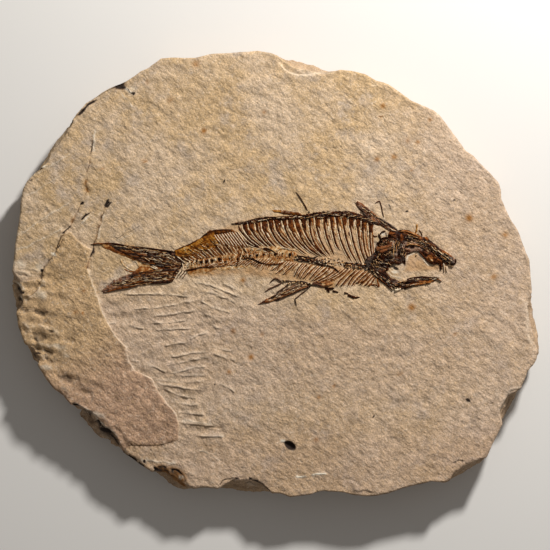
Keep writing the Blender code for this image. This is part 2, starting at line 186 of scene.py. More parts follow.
CRACKS: list[Crease] = [
    # the branching cracks at the left: first their hairlines, then their wider stretches
    crack((-5112, 4101, -5140, 3764, -5183, 3483, -5211, 3202, -5295, 2837, -5323, 2584, -5284, 2360,
     -5407, 2051), 0.06, 0.13, 0.5, 0.3),
    crack((-5435, 2022, -5576, 1713, -5744, 1348, -5885, 1208, -6025, 1011, -6138, 787, -6222, 562),
     0.06, 0.13, 0.5, 0.4),
    crack((-6222, 562, -6390, 309, -6545, 84, -6559, -169, -6756, -478), 0.06, 0.12, 0.45, 0.2),
    crack((-4565, 2163, -4733, 1966, -4817, 1798, -4902, 1489, -4986, 1208, -5070, 955, -5126, 674,
     -5211, 421, -5267, 253, -5323, 140), 0.07, 0.15, 0.6, 0.5),
    crack((-5744, 1348, -5520, 1489, -5154, 1742, -4846, 1843, -4565, 2079), 0.06, 0.12, 0.4),
    crack((-5143, 3736, -5183, 3483, -5199, 3315), 0.08, 0.17, 0.7, 0.2),
    crack((-5340, 2669, -5323, 2528, -5295, 2388, -5284, 2275), 0.12, 0.3, 0.3, 1),
    crack((-5604, 1702, -5677, 1545, -5728, 1404), 0.1, 0.27, 0.4, 0.9),
    crack((-5744, 1360, -5885, 1236, -5997, 1124), 0.14, 0.2, 1),
    crack((-5958, 983, -6053, 843, -6121, 702), 0.1, 0.2, 0.8, 0.5),
    crack((-4677, 2118, -4750, 2006, -4789, 1882), 0.14, 0.26, 1),
    crack((-4874, 1601, -4902, 1433, -4969, 1236), 0.1, 0.24, 0.5, 0.9),
    crack((-5003, 1124, -5059, 955), 0.1, 0.2, 0.4, 0.9),
    crack((-5098, 758, -5154, 590, -5199, 449), 0.14, 0.28, 1),
    crack((-5239, 365, -5267, 253, -5312, 140), 0.1, 0.22, 0.4, 0.9),
    crack((-5154, 1753, -5295, 1640, -5492, 1517), 0.14, 0.2, 0.95),
    crack((-4593, 2022, -4789, 1871), 0.12, 0.18, 0.9),
    ridge((-5126, 1685, -5295, 1562, -5492, 1433), 0.08, 0.22, 0.6),
    ridge((-4806, 1742, -4857, 1489, -4941, 1208, -5025, 927), 0.06, 0.18, 0.4),
    ridge((-5070, 4101, -5098, 3764, -5138, 3427), 0.06, 0.16, 0.5),
    crack((-4565, 927, -4312, 1079, -4031, 1225, -3778, 1376), 0.06, 0.13, 0.5),
    crack((-4452, 916, -4228, 1051, -3947, 1208), 0.05, 0.12, 0.35),
    ridge((-4508, 888, -4256, 1022, -3975, 1169), 0.05, 0.16, 0.3),
    # long faint scratches that rise to the right
    ridge((-7430, 618, -7008, 758, -6503, 1011, -5885, 1348), 0.06, 0.2, 0.35),
    ridge((-7374, 1039, -6896, 1292, -6278, 1713, -5660, 2079), 0.06, 0.2, 0.3),
    ridge((-7177, 2079, -6503, 2472, -5885, 2865), 0.05, 0.16, 0.25),
    ridge((-7065, 2640, -6390, 2978, -5716, 3427), 0.05, 0.16, 0.25),
    ridge((-7402, 197, -7008, 169, -6615, 84), 0.16, 0.36, 0.2),
    ridge((-7486, -140, -7261, -253, -7008, -449), 0.2, 0.22, 0.6),
    ridge((-6559, -197, -6542, -281, -6671, -449, -6868, -646, -7093, -758), 0.06, 0.16, 0.3),
    crack((-6615, -365, -6812, -562, -7008, -702), 0.06, 0.14, 0.4, 0.3),
    ridge((-7430, 112, -7121, 67, -6840, -28), 0.2, 0.4, 0.12),
    crack((-7402, 28, -7177, -28, -6952, -56), 0.16, 0.26, 0.2),
    ridge((-7065, -1320, -6924, -1517, -6840, -1657), 0.26, 0.4, 0.12),
    ridge((-6671, -1404, -6447, -1517, -6278, -1562), 0.22, 0.4, 0.12),
    ridge((-6728, -1742, -6587, -1994, -6503, -2191), 0.26, 0.45, 0.12),
    crack((-6812, -1770, -6699, -2022, -6671, -2219), 0.2, 0.24, 0.3),
    crack((-6503, -2219, -6362, -2360, -6306, -2472), 0.2, 0.2, 0.7),
    crack((-7008, 2753, -6784, 2865, -6503, 3006), 0.14, 0.18, 0.9, 0.2),
    crack((-6896, 2612, -6671, 2753), 0.1, 0.14, 0.7),
    crack((-4990, 4970, -5180, 4800, -5380, 4630, -5630, 4380), 0.16, 0.17, 0.9, 0.3),
    crack((-4370, 5220, -4140, 5000, -3920, 4720), 0.06, 0.13, 0.3),
    crack((-4170, 5220, -4060, 5110, -3950, 5080), 0.08, 0.15, 0.7),
    ridge((-4420, 5170, -4200, 4920, -4000, 4660), 0.08, 0.2, 0.3),
    # the thin seam under the overlying layer's lower end
    Crease(Form.CRACK, LAYER[19:24], 0.07, 0.16, 0.55, 0.4),
    # the broken lip of the layer, with a highlight painted pale along it
    Crease(Form.RIDGE, LAYER[3:20], 0.02, 0.13, pale=0.3, pull=0.0),
    crack((-3638, -4775, -3525, -4916, -3413, -5084, -3329, -5197), 0.06, 0.13, 0.5),
    ridge((-3890, -5225, -3525, -5253, -3104, -5281, -2739, -5337), 0.14, 0.26, 0.4),
    ridge((-2739, -4129, -2402, -4118, -2065, -4185, -1671, -4270), 0.12, 0.26, 0.3),
    ridge((-2121, -4551, -1784, -4579, -1390, -4551), 0.1, 0.22, 0.3),
    ridge((-2205, -4916, -1896, -5056, -1559, -5253), 0.1, 0.2, 0.3),
    crack((-2233, -4775, -1896, -4831, -1447, -4888), 0.06, 0.16, 0.3, 0.2),
    crack((-3301, -4129, -2683, -4185, -2008, -4270, -1390, -4354), 0.06, 0.16, 0.3, 0.2),
    crack((-2121, -5421, -1559, -5506, -997, -5590), 0.05, 0.14, 0.3),
    # the crevices along the broken rim at the lower left, painted black as shade, and a ridge painted pale as
    # the highlight on the lit edge between them
    crack((-5801, -3624, -5548, -3669, -5323, -3848, -5154, -4073, -5042, -4242), 0.5, 0.26, 1),
    crack((-5014, -4213, -4817, -4298, -4621, -4494, -4452, -4691, -4396, -4916), 0.5, 0.26, 1),
    ridge((-5660, -3596, -5379, -3725, -5098, -3933, -4958, -4129, -4649, -4354, -4396, -4607), 0.14,
     0.2, 0.6), crack((-4396, -4944, -4143, -5084, -3890, -5309, -3638, -5449), 0.4, 0.24, 1, 0.2),
    crack((-3469, -5421, -3244, -5534, -3076, -5674), 0.3, 0.2, 0.9),
    crack((-3385, -5393, -3076, -5438, -2739, -5534, -2542, -5758, -2430, -6011), 0.25, 0.2, 0.95, 0.3),
    # the flake scar at the bottom edge, its stepped edge painted dark as shade
    crack((-1620, -5980, -1500, -5810, -1220, -5740, -800, -5700), 0.17, 0.14, 0.9, 0.2),
    crack((-800, -5700, -580, -5810, -380, -5900, -210, -6070, -70, -6240), 0.35, 0.26, 1),
    crack((-910, -5900, -720, -5840, -520, -5980, -410, -6150), 0.21, 0.19, 0.8, 0.2),
    crack((4930, -5310, 5130, -5250, 5270, -5220, 5380, -5340, 5600, -5420), 0.14, 0.15, 0.6),
    crack((-720, 4830, -600, 4860, -460, 4780), 0.07, 0.14, 0.6),
    crack((2880, 4440, 3050, 4440), 0.06, 0.14, 0.4, 0.9),
    crack((3160, 1970, 3270, 1800), 0.06, 0.14, 0.8),
    # the broken edge round the hollow behind the jaws, with a highlight painted pale along it
    ridge((3683, 309, 3711, 478, 3806, 545, 3947, 596, 4070, 534, 4171, 393, 4272, 264, 4452, 225), 0.1,
     0.17, 0.5, 0.4), ridge((3160, 56, 3244, -56, 3385, -96, 3553, -140), 0.1, 0.18, 0.4, 0.4),
    ridge((550, -5700, 880, -5700), 0.12, 0.25, 0.8), ridge((1000, -5630, 1450, -5600), 0.12, 0.25, 0.8),
]

SCARS: list[Crease] = [
    # thin flakes off the face along the rim
    step((40, 6010, 130, 5900, 240, 5760, 410, 5650, 630, 5590, 970, 5620, 1250, 5650, 1530, 5670, 1700,
     5620), -0.4, 3, 0, 0.2), step((2680, 5280, 2850, 5310, 3020, 5340), -0.25, 2, 0, 0.2),
    step((7010, -670, 7090, -1010, 7090, -1350, 7090, -1710, 7210, -1990, 7350, -2190), -0.5, 4, 0, 0.2),
    step((6280, 2640, 6360, 2360, 6390, 2080), -0.3, 2.5),
    step((6450, -3430, 6640, -3260, 6870, -3170), 0.3, 2.5, 0, 0.2),
    step((6250, -3820, 6420, -3680, 6470, -3480), 0.3, 2.5, 0, 0.2),
    step((-5800, 4190, -6000, 3960, -6310, 3570, -6500, 3260, -6670, 2980), 0.5, 3),
    step((-5770, -3600, -5490, -3680, -5270, -3850, -5150, -4040, -5010, -4240, -4710, -4330, -4590,
     -4520, -4370, -4750, -4170, -5030, -3890, -5200, -3640, -5310), 0.5, 4, 0.4),
    step((1140, -6120, 1530, -6120), 0.2, 2, 0, 0.2),
    step((2090, -6120, 2510, -6070, 2940, -6180), 0.25, 2, 0.2),
    step((4340, -5900, 4760, -5790, 5240, -5730), 0.25, 2, 0.2),
]

HACKLES: list[Line] = paths(
    (-4680, -580, -3780, -560, -3270, -560, -2680, -610, -2230, -630),
    (-4060, -980, -3410, -950, -2960, -890, -2490, -790, -2110, -700),
    (-3530, -1170, -3020, -1150, -2680, -1090, -2260, -1040, -2120, -1090),
    (-3500, -1390, -3020, -1360, -2460, -1300), (-3380, -1570, -2740, -1540, -2370, -1530),
    (-3130, -2010, -2820, -1960, -2460, -1920), (-2400, -1830, -2210, -1740, -1900, -1620),
    (-2960, -2340, -2680, -2290, -2320, -2210, -1920, -2180),
    (-2990, -2540, -2680, -2500, -2260, -2400, -1870, -2340),
    (-2990, -2800, -2630, -2720, -2290, -2630, -1920, -2580), (-2680, -2870, -1920, -2840),
    (-3410, -2960, -2820, -3030, -2010, -3020), (-3380, -3050, -2820, -3150, -2120, -3270),
    (-3160, -3200, -2680, -3420, -2180, -3500), (-4730, -1390, -4450, -1370),
    (-4120, -1390, -4030, -1460, -3690, -1540), (-4090, -2420, -3810, -2470),
    (-3690, -2500, -3380, -2620, -3050, -2780), (-2740, -4160, -2120, -4240, -1620, -4300),
    (-2910, -3600, -2120, -3710), (-2790, -3880, -1980, -3960), (-2180, -4550, -1420, -4550),
    (-2320, -240, -2010, -270, -1840, -340), (-1900, -280, -1530, -430, -1190, -560, -1030, -630),
    (-2040, -490, -1760, -540, -1390, -680, -1110, -840),
    (-2120, -700, -1920, -860, -1640, -980, -1250, -1100), (-1980, -1090, -1760, -1230, -1470, -1390),
    (-1870, -1400, -1560, -1540), (-1810, -2010, -1530, -2110, -1250, -2180),
    (-1760, -2220, -1470, -2320, -1110, -2460), (-1590, -3060, -1330, -3200, -1110, -3340),
    (-1730, -450, -1450, -580), (-1530, -250, -1190, -390, -910, -560),
)

SPOTS: list[Spot] = [Spot((x, y), (long, wide), *rest) for x, y, long, wide, *rest in (
    (4.1, -48.2, 1.7, 1.05, -35, 0.9, 1), (-44.1, 53.1, 2.2, 1.1, -20, 0.25, 0.8, 0, 0.7),
    (-41.4, 51.7, 1.6, 0.4, -36, -0.15, 0, 0.5), (-40, 52.2, 1, 0.3, -30, 0, 0, 0.4),
    (-40, 50.8, 0.6, 0.25, 0, 0.1, 1), (-14.5, 26.1, 0.4, 0.4, 0, 0.1, 0.9),
    (-14.7, 25, 1.4, 1.9, 0, 0, 0.16), (54.1, -35.4, 0.5, 0.5, 0, 0.15, 1),
    (-54.4, 19.9, 0.6, 0.26, 48, 0.15, 0.9), (-65.6, 1, 0.4, 0.4, 0, 0.1, 1),
    (-36.9, -52.5, 0.4, 0.35, 0, 0.1, 1), (-47.3, 19.8, 0.8, 0.26, 42, 0.15, 0.9),
    (36.9, 17.6, 0.35, 0.35, 0, 0.05, 1), (-17, -31.2, 0.3, 0.3, 0, 0.05, 0.8),
    (27.7, -39.9, 0.3, 0.3, 0, 0.05, 0.8), (50.4, 20.8, 0.3, 0.3, 0, 0.05, 0.8),
    (-73.2, -3.4, 2.4, 0.7, -38, 0.9, 1), (-71.2, -5.3, 0.7, 0.4, 0, 0.4, 1),
    (-72.1, -7, 0.6, 0.7, 20, 0.5, 1), (-72.6, -9, 0.7, 0.4, 60, 0.5, 1),
    (-74.4, -4.5, 0.5, 0.9, 10, -0.3, 0, 0.8), (-74, -6.5, 0.8, 0.5, -40, -0.3, 0, 0.9),
    (-71.4, -6.7, 0.25, 0.6, 20, -0.2, 0, 0.7), (-68.1, -22.8, 1.2, 0.6, -50, 0.8, 1),
    (-66.7, -22.2, 0.9, 0.25, 24, 0.3, 1), (-69.5, -23.9, 0.5, 1.1, 34, -0.3, 0, 0.8),
    (-64.2, -23.6, 0.3, 0.9, 34, 0.25, 0.6), (-70.9, -14.9, 0.25, 0.8, 30, 0.25, 0.5),
    (-62.8, -16.2, 1, 0.4, 0, 0.3, 0.45), (-64.2, -10.7, 0.7, 0.4, 0, 0.2, 0.35),
    (-61.5, -10.4, 0.5, 0.4, 0, 0.2, 0.35), (-52.1, -42.1, 2, 0.8, -48, 0.9, 1),
    (-47.3, -45.8, 4.2, 1.5, -42, 1.3, 1), (-49, -44.9, 1.4, 0.6, -40, -0.7, 0, 0.3),
    (-51.8, -43.8, 1.2, 0.6, -50, -0.5, 0, 0.5), (-40.6, -52, 1.6, 0.4, -38, 0.5, 0.9),
    (-33, -55.1, 1.5, 0.5, -30, 0.4, 0.9), (-27.9, -56.5, 3, 1.7, -30, 0.2, 0.4, 0, 1),
    (-31.3, -55.3, 2.2, 1.1, -30, 0.1, 0.5, 0, 1), (-26.5, -59, 1.6, 0.6, -40, 0.1, 0.5, 0, 1),
    (-29.2, -55.2, 0.4, 0.4, 0, 0, 0, 0.9), (-26.5, -57, 0.6, 0.4, 0, 0, 0, 0.9),
    (-8, -61, 1.6, 0.7, -15, 0.5, 0.95), (-6.6, -59.3, 1.8, 0.7, -20, -0.1, 0, 0.25, 0.35),
    (2.1, -46.9, 0.7, 0.4, 0, -0.15, 0, 0.7), (-62.2, 5.6, 0.5, 0.4, 0, -0.1, 0, 0.9),
    (-65, 30.1, 0.6, 0.3, 20, -0.1, 0, 0.8), (33.6, 0.7, 0.8, 0.3, 0, -0.05, 0, 1),
    (33.7, 1.6, 0.7, 0.4, -20, 0.15, 1), (33, 2, 0.35, 0.3, 0, 0.1, 1),
    (34.1, -4.4, 1.3, 0.35, 8, -0.1, 0, 1), (30.3, 11.2, 0.55, 0.35, 0, -0.05, 0, 0.9),
)]
RUST_SPOTS: list[tuple[float, float, float, float]] = [
    (-22.3, 59, 1.1, 0.5), (-20.1, 40.2, 0.8, 0.8), (-36.1, 53.9, 0.5, 0.6), (-36.7, 31.7, 0.6, 0.7),
    (-48.7, 29.5, 0.5, 0.6), (-29.6, 48.9, 0.9, 0.35), (-3.2, 45.5, 0.6, 0.6), (30.2, 47.2, 0.8, 0.7),
    (43.4, 43.3, 0.6, 0.6), (40, 37.1, 0.6, 0.7), (37.2, 37.4, 0.8, 0.4), (33.3, 32.9, 0.8, 0.7),
    (28.5, 32.3, 0.8, 0.6), (38.3, 29.2, 0.5, 0.5), (54.4, 15.7, 1.1, 0.8), (64.5, 11, 0.9, 0.6),
    (61.4, -0.8, 0.9, 0.6), (38.3, -9.3, 1.1, 0.8), (50.4, -16.9, 0.6, 0.5), (35, -28.1, 0.6, 0.5),
    (16.4, -31.5, 0.5, 0.7), (12.2, -34.6, 0.6, 0.6), (11.4, -46.6, 0.8, 0.5), (-9.1, -1.7, 0.8, 0.8),
    (-11.9, -16, 0.8, 0.6), (-6.9, -23.3, 0.9, 0.7), (-13.1, -27.5, 0.7, 0.6), (-3.8, -16.9, 0.7, 0.4),
    (-56, -10.7, 0.6, 0.6), (-53.8, -4.8, 0.6, 0.6), (-54.1, -11, 0.5, 0.8),
]
STAINS: list[Zone] = [
    Zone(path(-1110, 1460, -380, 1600, 1530, 1740, 2600, 1540, 2740, 1070, 2710, 340, 1530, 340, 410,
     510, -860, 450, -1700, 340, -2510, 170, -2740, 340, -2120, 790, -1700, 1180), 1.4, 0.46),
    Zone(path(-2680, 340, -380, 390, 1390, 280, 2710, 110, 2600, -280, 1530, -280, 410, -170, -1000, 0,
     -2400, -80), 1.4, 0.55), Zone(path(-2510, 250, -1700, 250, -1700, -30, -2400, -60), 0.8, 0.7),
    Zone(path(1190, -200, 1640, -200, 1640, -390, 1250, -390), 0.6, 0.8),
    Zone(path(3670, 340, 3750, 530, 3950, 590, 4140, 450, 4280, 280, 4790, 250, 4730, 140, 4340, 110,
     3640, 60), 0.8, 0.5), Zone(path(-860, 810, 580, 670, 630, 280, -860, 280), 0.9, 0.7),
]


def smooth(share: Array) -> Array:
    """An S-shaped rise from 0 to 1 as share runs from 0 to 1, held level past its ends."""
    share = np.clip(share, 0.0, 1.0)
    return share * share * (3.0 - 2.0 * share)


def sector(turn: Array, middle: float, half: float, edge: float) -> Array:
    """How far each angle is inside a sector with soft ends, all in degrees."""
    return smooth((half - np.abs(np.degrees(turn) - middle)) / edge)


def bumps(x: Array, y: Array, length: float, seed: float = 0.0, z: Array | float = 0.0) -> Array:
    """Smooth random bumps from -1 to 1, as wide as length, at each point."""
    heights = np.broadcast_to(z, x.shape)
    return np.array([
        noise.noise(Vector((a / length + seed, b / length - seed, c / length + 0.7 * seed)))
        for a, b, c in zip(x.tolist(), y.tolist(), heights.tolist())
    ])


@dataclass
class Nearness:
    """Where points stand next to a line: their gap, side (1 is left), share along and foot."""

    gap: Array
    side: Array
    share: Array
    foot_x: Array
    foot_y: Array


def nearness(x: Array, y: Array, line: Line, closed: bool = False) -> Nearness:
    """Measure points against a line.

    Args:
        x: the points' x.
        y: the points' y.
        line: the line's points.
        closed: whether its last point joins its first.

    Returns:
        The gap, side, share and foot of each point.
    """
    points = [*line, line[0]] if closed else list(line)
    lengths = [math.dist(a, b) for a, b in zip(points, points[1:])]
    total = sum(lengths)
    found = Nearness(np.full(x.shape, np.inf), np.ones(x.shape), np.zeros(x.shape), x.copy(), y.copy())
    run = 0.0
    for (x0, y0), (x1, y1), length in zip(points, points[1:], lengths):
        dx, dy = x1 - x0, y1 - y0
        share = np.clip(((x - x0) * dx + (y - y0) * dy) / length**2, 0.0, 1.0)
        foot_x, foot_y = x0 + share * dx, y0 + share * dy
        gap = np.hypot(x - foot_x, y - foot_y)
        closer = gap < found.gap
        found.gap = np.where(closer, gap, found.gap)
        found.side = np.where(closer, np.where(dx * (y - y0) - dy * (x - x0) >= 0.0, 1.0, -1.0), found.side)
        found.share = np.where(closer, (run + share * length) / total, found.share)
        found.foot_x = np.where(closer, foot_x, found.foot_x)
        found.foot_y = np.where(closer, foot_y, found.foot_y)
        run += length
    return found


def inside(x: Array, y: Array, outline: Line) -> Array:
    """Which points lie inside a closed outline."""
    odd = np.zeros(x.shape, bool)
    for (x0, y0), (x1, y1) in zip(outline, [*outline[1:], outline[0]]):
        if y0 != y1:
            crossing = (y0 > y) != (y1 > y)
            odd ^= crossing & (x < x0 + (x1 - x0) * (y - y0) / (y1 - y0))
    return odd


def depth_inside(x: Array, y: Array, outline: Line) -> Array:
    """How far inside an outline points lie, negative outside it."""
    gap = nearness(x, y, outline, closed=True).gap
    return np.where(inside(x, y, outline), gap, -gap)


class SplitFace:
    """The relief of the stone's split face, in millimetres above the slab's back."""

    OCTAVES = ((9.0, 0.14), (4.4, 0.16), (2.6, 0.12), (1.5, 0.055))

    def __init__(self, creases: Sequence[Crease], spots: Sequence[Spot]) -> None:
        self.creases = creases
        self.spots = spots

    @staticmethod
    def swell(x: Array, y: Array) -> Array:
        """The long swells of the face, without the overlying layer."""
        height = np.full(x.shape, SLAB_THICKNESS)
        for size, heading, length, phase in ((0.20, 20.0, 84.0, 0.6), (0.14, 115.0, 61.0, 2.1),
                                             (0.07, 70.0, 43.0, 1.0)):
            turn = math.radians(heading)
            height += size * np.sin(math.tau * (x * math.cos(turn) + y * math.sin(turn)) / length + phase)
        return height

    @staticmethod
    def layer_rise(y: Array) -> Array:
        """How thick the overlying layer is: it thins out to a seam at its lower end."""
        return LAYER_RISE * (0.08 + 0.92 * smooth((y + 48.0) / 12.0))

    @staticmethod
    def folds(x: Array, y: Array) -> Array:
        """How far the face is folded into ridges, near the rim at the left."""
        return smooth((-57.0 + 0.0095 * y * y - x) / 10.0) * smooth((14.0 - y) / 14.0)

    @staticmethod
    def streaks(x: Array, y: Array) -> Array:
        """The run of the folds: crests above 0, hollows below."""
        coarse = bumps(x / 3.0, y + 0.2 * x, 2.1, 90.0)
        return coarse + 0.6 * bumps((x + 0.6 * y) / 1.2, (y - 0.6 * x) / 4.0, 1.3, 95.0)

    @staticmethod
    def fade(share: Array) -> Array:
        """1 along the middle of a line, falling to 0 at its two ends."""
        return smooth(np.minimum(share, 1.0 - share) / 0.12)

    @staticmethod
    def near(x: Array, y: Array, line: Line, reach: float) -> Array:
        """The indices of the points within reach of a line's bounding box."""
        xs, ys = [p[0] for p in line], [p[1] for p in line]
        return np.nonzero((x > min(xs) - reach) & (x < max(xs) + reach)
                          & (y > min(ys) - reach) & (y < max(ys) + reach))[0]

    @classmethod
    def base(cls, x: Array, y: Array) -> Array:
        """The face without its creases and spots."""
        height = cls.swell(x, y)
        layer = depth_inside(x, y, LAYER)
        rise = cls.layer_rise(y)
        height += rise * smooth(layer / (0.2 + 0.7 * (1.0 - rise / LAYER_RISE)) + 0.5)
        ripple = smooth(depth_inside(x, y, RIPPLED) / 5.0 + 0.4) * (1.0 - smooth(layer / 0.4 + 0.5))
        height += 0.4 * ripple * bumps(x / 4.0, y - 0.13 * x, 1.9, 70.0)
        folds = cls.folds(x, y)
        height += (0.06 + 0.8 * folds) * smooth(layer + 0.5) * cls.streaks(x, y)
        for number, (length, size) in enumerate(cls.OCTAVES):
            height += size * (1.0 + 0.5 * folds) * bumps(x, y, length, 11.3 * number)
        return height

    def height(self, x: Array, y: Array) -> Array:
        """The face's height at each point."""
        height = self.base(x, y)
        x, y, vigour = self.wander(x, y)
        for crease in self.creases:
            wide = max(crease.reach, 0.1) * (2.5 if crease.form is not Form.STEP else 1.0)
            picked = self.near(x, y, crease.line, wide)
            if not len(picked):
                continue
            found = nearness(x[picked], y[picked], crease.line)
            height[picked] += self.across(crease, found) * (vigour[picked] if crease.reach < 1.0 else 1.0)
        for spot in self.spots:
            height -= spot.depth * (1.0 - smooth(self.spread(x, y, spot) ** 2 / 1.3))
        # the highest crests are eased down under the plate's full height
        return height - CREST_EASE * np.logaddexp(0.0, (height - CREST_TOP) / CREST_EASE)

    @staticmethod
    def wander(x: Array, y: Array) -> tuple[Array, Array, Array]:
        """Where points stand once fine lines waver, and how strong a line is there."""
        vigour = np.clip(0.95 + 1.3 * bumps(x, y, 2.4, 33.0), 0.15, 1.5)
        return x + 0.3 * bumps(x, y, 1.9, 51.0), y + 0.3 * bumps(x, y, 1.9, 57.0), vigour

    def across(self, crease: Crease, found: Nearness) -> Array:
        """How much a crease lifts points, from where they stand next to its line."""
        ends = self.fade(found.share)
        if crease.form is Form.STEP:
            die = 1.0 - smooth(found.gap / crease.reach)
            return 0.5 * crease.rise * ends * die * found.side * smooth(found.gap / 0.15)
        sign = -1.0 if crease.form is Form.CRACK else 1.0
        return sign * crease.rise * ends * np.exp(-((found.gap / crease.reach) ** 2))

    @staticmethod
    def spread(x: Array, y: Array, spot: Spot) -> Array:
        """How many of its own radii points are from a spot's middle."""
        turn = math.radians(spot.turn)
        dx, dy = x - spot.place[0], y - spot.place[1]
        a = (dx * math.cos(turn) + dy * math.sin(turn)) / spot.radii[0]
        b = (dy * math.cos(turn) - dx * math.sin(turn)) / spot.radii[1]
        return np.hypot(a, b)

    def beside_creases(self, x: Array, y: Array, reach: float) -> Array:
        """Which points are within reach of a sharp line."""
        beside = np.zeros(x.shape, bool)
        for line in [crease.line for crease in self.creases] + [[*LAYER, LAYER[0]]]:
            picked = self.near(x, y, line, reach)
            beside[picked] |= nearness(x[picked], y[picked], line).gap < reach
        for spot in self.spots:
            if abs(spot.depth) > 0.12:
                beside |= self.spread(x, y, spot) < 1.6
        return beside

    def gather(self, x: Array, y: Array) -> tuple[Array, Array]:
        """Draw points in towards the creases, so that the mesh is fine where the face turns."""
        lines = [(crease.line, crease.pull) for crease in self.creases] + [(LAYER, 0.9)]
        for spot in self.spots:
            if spot.depth > 0.2:
                ring = [
                    (spot.place[0] + math.cos(a) * spot.radii[0] * 0.95,
                     spot.place[1] + math.sin(a) * spot.radii[1] * 0.95)
                    for a in np.linspace(0.0, math.tau, 17)
                ]
                turned = Matrix.Rotation(math.radians(spot.turn), 2)
                middle = Vector(spot.place)
                lines.append(([tuple(middle + turned @ (Vector(p) - middle)) for p in ring], 0.6))
        for line, pull in lines:
            picked = self.near(x, y, line, pull)
            found = nearness(x[picked], y[picked], line)
            share = np.clip(found.gap / pull, 1e-6, 1.0)
            keep = 1.0 - (1.0 - share**0.7) * (self.fade(found.share) if line is not LAYER else 1.0)
            x[picked] = found.foot_x + (x[picked] - found.foot_x) * keep
            y[picked] = found.foot_y + (y[picked] - found.foot_y) * keep
        return x, y

    def tints(self, x: Array, y: Array) -> dict[str, Array]:
        """The shares of each tint at each point, from 0 to 1."""
        tints = {name: np.zeros(x.shape) for name in ("dark", "rust", "pale", "stain")}
        moved_x, moved_y, vigour = self.wander(x, y)
        for crease in self.creases:
            if not (crease.dark or crease.rust or crease.pale):
                continue
            picked = self.near(moved_x, moved_y, crease.line, 1.5)
            found = nearness(moved_x[picked], moved_y[picked], crease.line)
            wide = crease.reach if crease.form is not Form.STEP else 0.35
            core = np.exp(-((found.gap / wide) ** 2)) * self.fade(found.share)
            core *= np.minimum(vigour[picked], 1.0)
            for name in ("dark", "rust", "pale"):
                tints[name][picked] = np.maximum(tints[name][picked], getattr(crease, name) * core)
        for spot in self.spots:
            core = 1.0 - smooth(self.spread(x, y, spot) - 0.5)
            for name in ("dark", "rust", "pale"):
                tints[name] = np.maximum(tints[name], getattr(spot, name) * core)
        for middle_x, middle_y, radius, strength in RUST_SPOTS:
            gap = np.hypot(x - middle_x, y - middle_y) / radius
            tints["rust"] = np.maximum(tints["rust"], min(1.3 * strength, 1.0) * (1.0 - smooth(gap / 1.6)))
        for zone in STAINS:
            share = smooth(depth_inside(x, y, zone.outline) / zone.edge + 0.5)
            tints["stain"] = np.maximum(tints["stain"], zone.strength * share)
        layer = depth_inside(x, y, LAYER)
        tints["layer"] = smooth(layer / 0.4 + 0.5)
        below = smooth((-3.0 - y - 0.1 * x) / 12.0) * (1.0 - 0.45 * smooth((-26.0 - y) / 20.0))
        tints["blush"] = np.maximum(below, smooth((x - 24.0) / 34.0))
        tints["mauve"] = tints["layer"] * smooth((np.hypot(x + 68.0, y - 6.0) - 26.0) / 20.0)
        tints["mauve"] = np.maximum(tints["mauve"], 0.3 * smooth((-36.0 - y) / 16.0))
        tints["folds"] = self.folds(x, y)
        # the crests of the folds are painted pale as highlights and their hollows dark as shade
        streaks = self.streaks(x, y) * tints["folds"]
        tints["pale"] = np.maximum(tints["pale"], 0.36 * smooth((streaks - 0.3) / 0.4))
        tints["dark"] = np.maximum(tints["dark"], 0.44 * smooth((-0.3 - streaks) / 0.3))
        return tints


class Rim:
    """The slab's outline: how far it reaches at each angle, and how its side is broken."""

    SAMPLES = 2048
    SMOOTH_HARMONICS = 5

    def __init__(self) -> None:
        self.angles = np.linspace(0.0, math.tau, self.SAMPLES, endpoint=False)
        self.widest = np.array([self.reach(angle) for angle in self.angles])
        degrees = np.degrees(self.angles)
        inset = np.full(degrees.shape, LIP_INSET)
        for middle, half_width, depth in FLAKES:
            away = np.abs((degrees - middle + 180.0) % 360.0 - 180.0) / half_width
            inset += depth * np.clip(2.0 * (1.0 - away), 0.0, 1.0)
        self.inset = inset
        x, y = self.widest * np.cos(self.angles), self.widest * np.sin(self.angles)
        nicks = np.abs(bumps(x, y, 1.7, 3.0)) * 0.35 + np.abs(bumps(x, y, 4.5, 5.0)) * 0.5
        self.lip = self.widest - inset - nicks * np.clip(inset, 0.4, 1.2)
        self.widest = self.widest - np.abs(bumps(x, y, 2.2, 9.0)) * 0.25
        waves = np.fft.rfft(self.lip)
        waves[self.SMOOTH_HARMONICS:] = 0.0
        self.soft = np.fft.irfft(waves, self.SAMPLES)

    @staticmethod
    def reach(angle: float) -> float:
        """How far from the middle the outline is at this angle."""
        cos, sin = math.cos(angle), math.sin(angle)
        best = 0.0
        for (x0, y0), (x1, y1) in zip(RIM, [*RIM[1:], RIM[0]]):
            across = cos * (y1 - y0) - sin * (x1 - x0)
            if abs(across) > 1e-9:
                reach = (x0 * (y1 - y0) - y0 * (x1 - x0)) / across
                share = (x0 * sin - y0 * cos) / across
                if reach > 0.0 and -1e-9 <= share <= 1.0 + 1e-9:
                    best = max(best, reach)
        return best

    def at(self, values: Array, angle: Array) -> Array:
        """One of the rim's curves at these angles."""
        return np.interp(angle % math.tau, self.angles, values, period=math.tau)


def write_tints(mesh: bpy.types.Mesh, tints: dict[str, Array]) -> None:
    """Keep each tint in the mesh as a value of its points."""
    for name, values in tints.items():
        attribute = mesh.attributes.new(name, "FLOAT", "POINT")
        attribute.data.foreach_set("value", values.astype(np.float32))


def placed_object(name: str, mesh: bpy.types.Mesh, node: str, finish: bpy.types.Material) -> None:
    """Put a finished mesh into the scene in place of its CAD node."""
    mesh.materials.append(finish)
    thing = bpy.data.objects.new(name, mesh)
    bpy.context.scene.collection.objects.link(thing)
    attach(thing, "root")
    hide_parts(node)
    log.info("%s: %d faces", name, len(mesh.polygons))


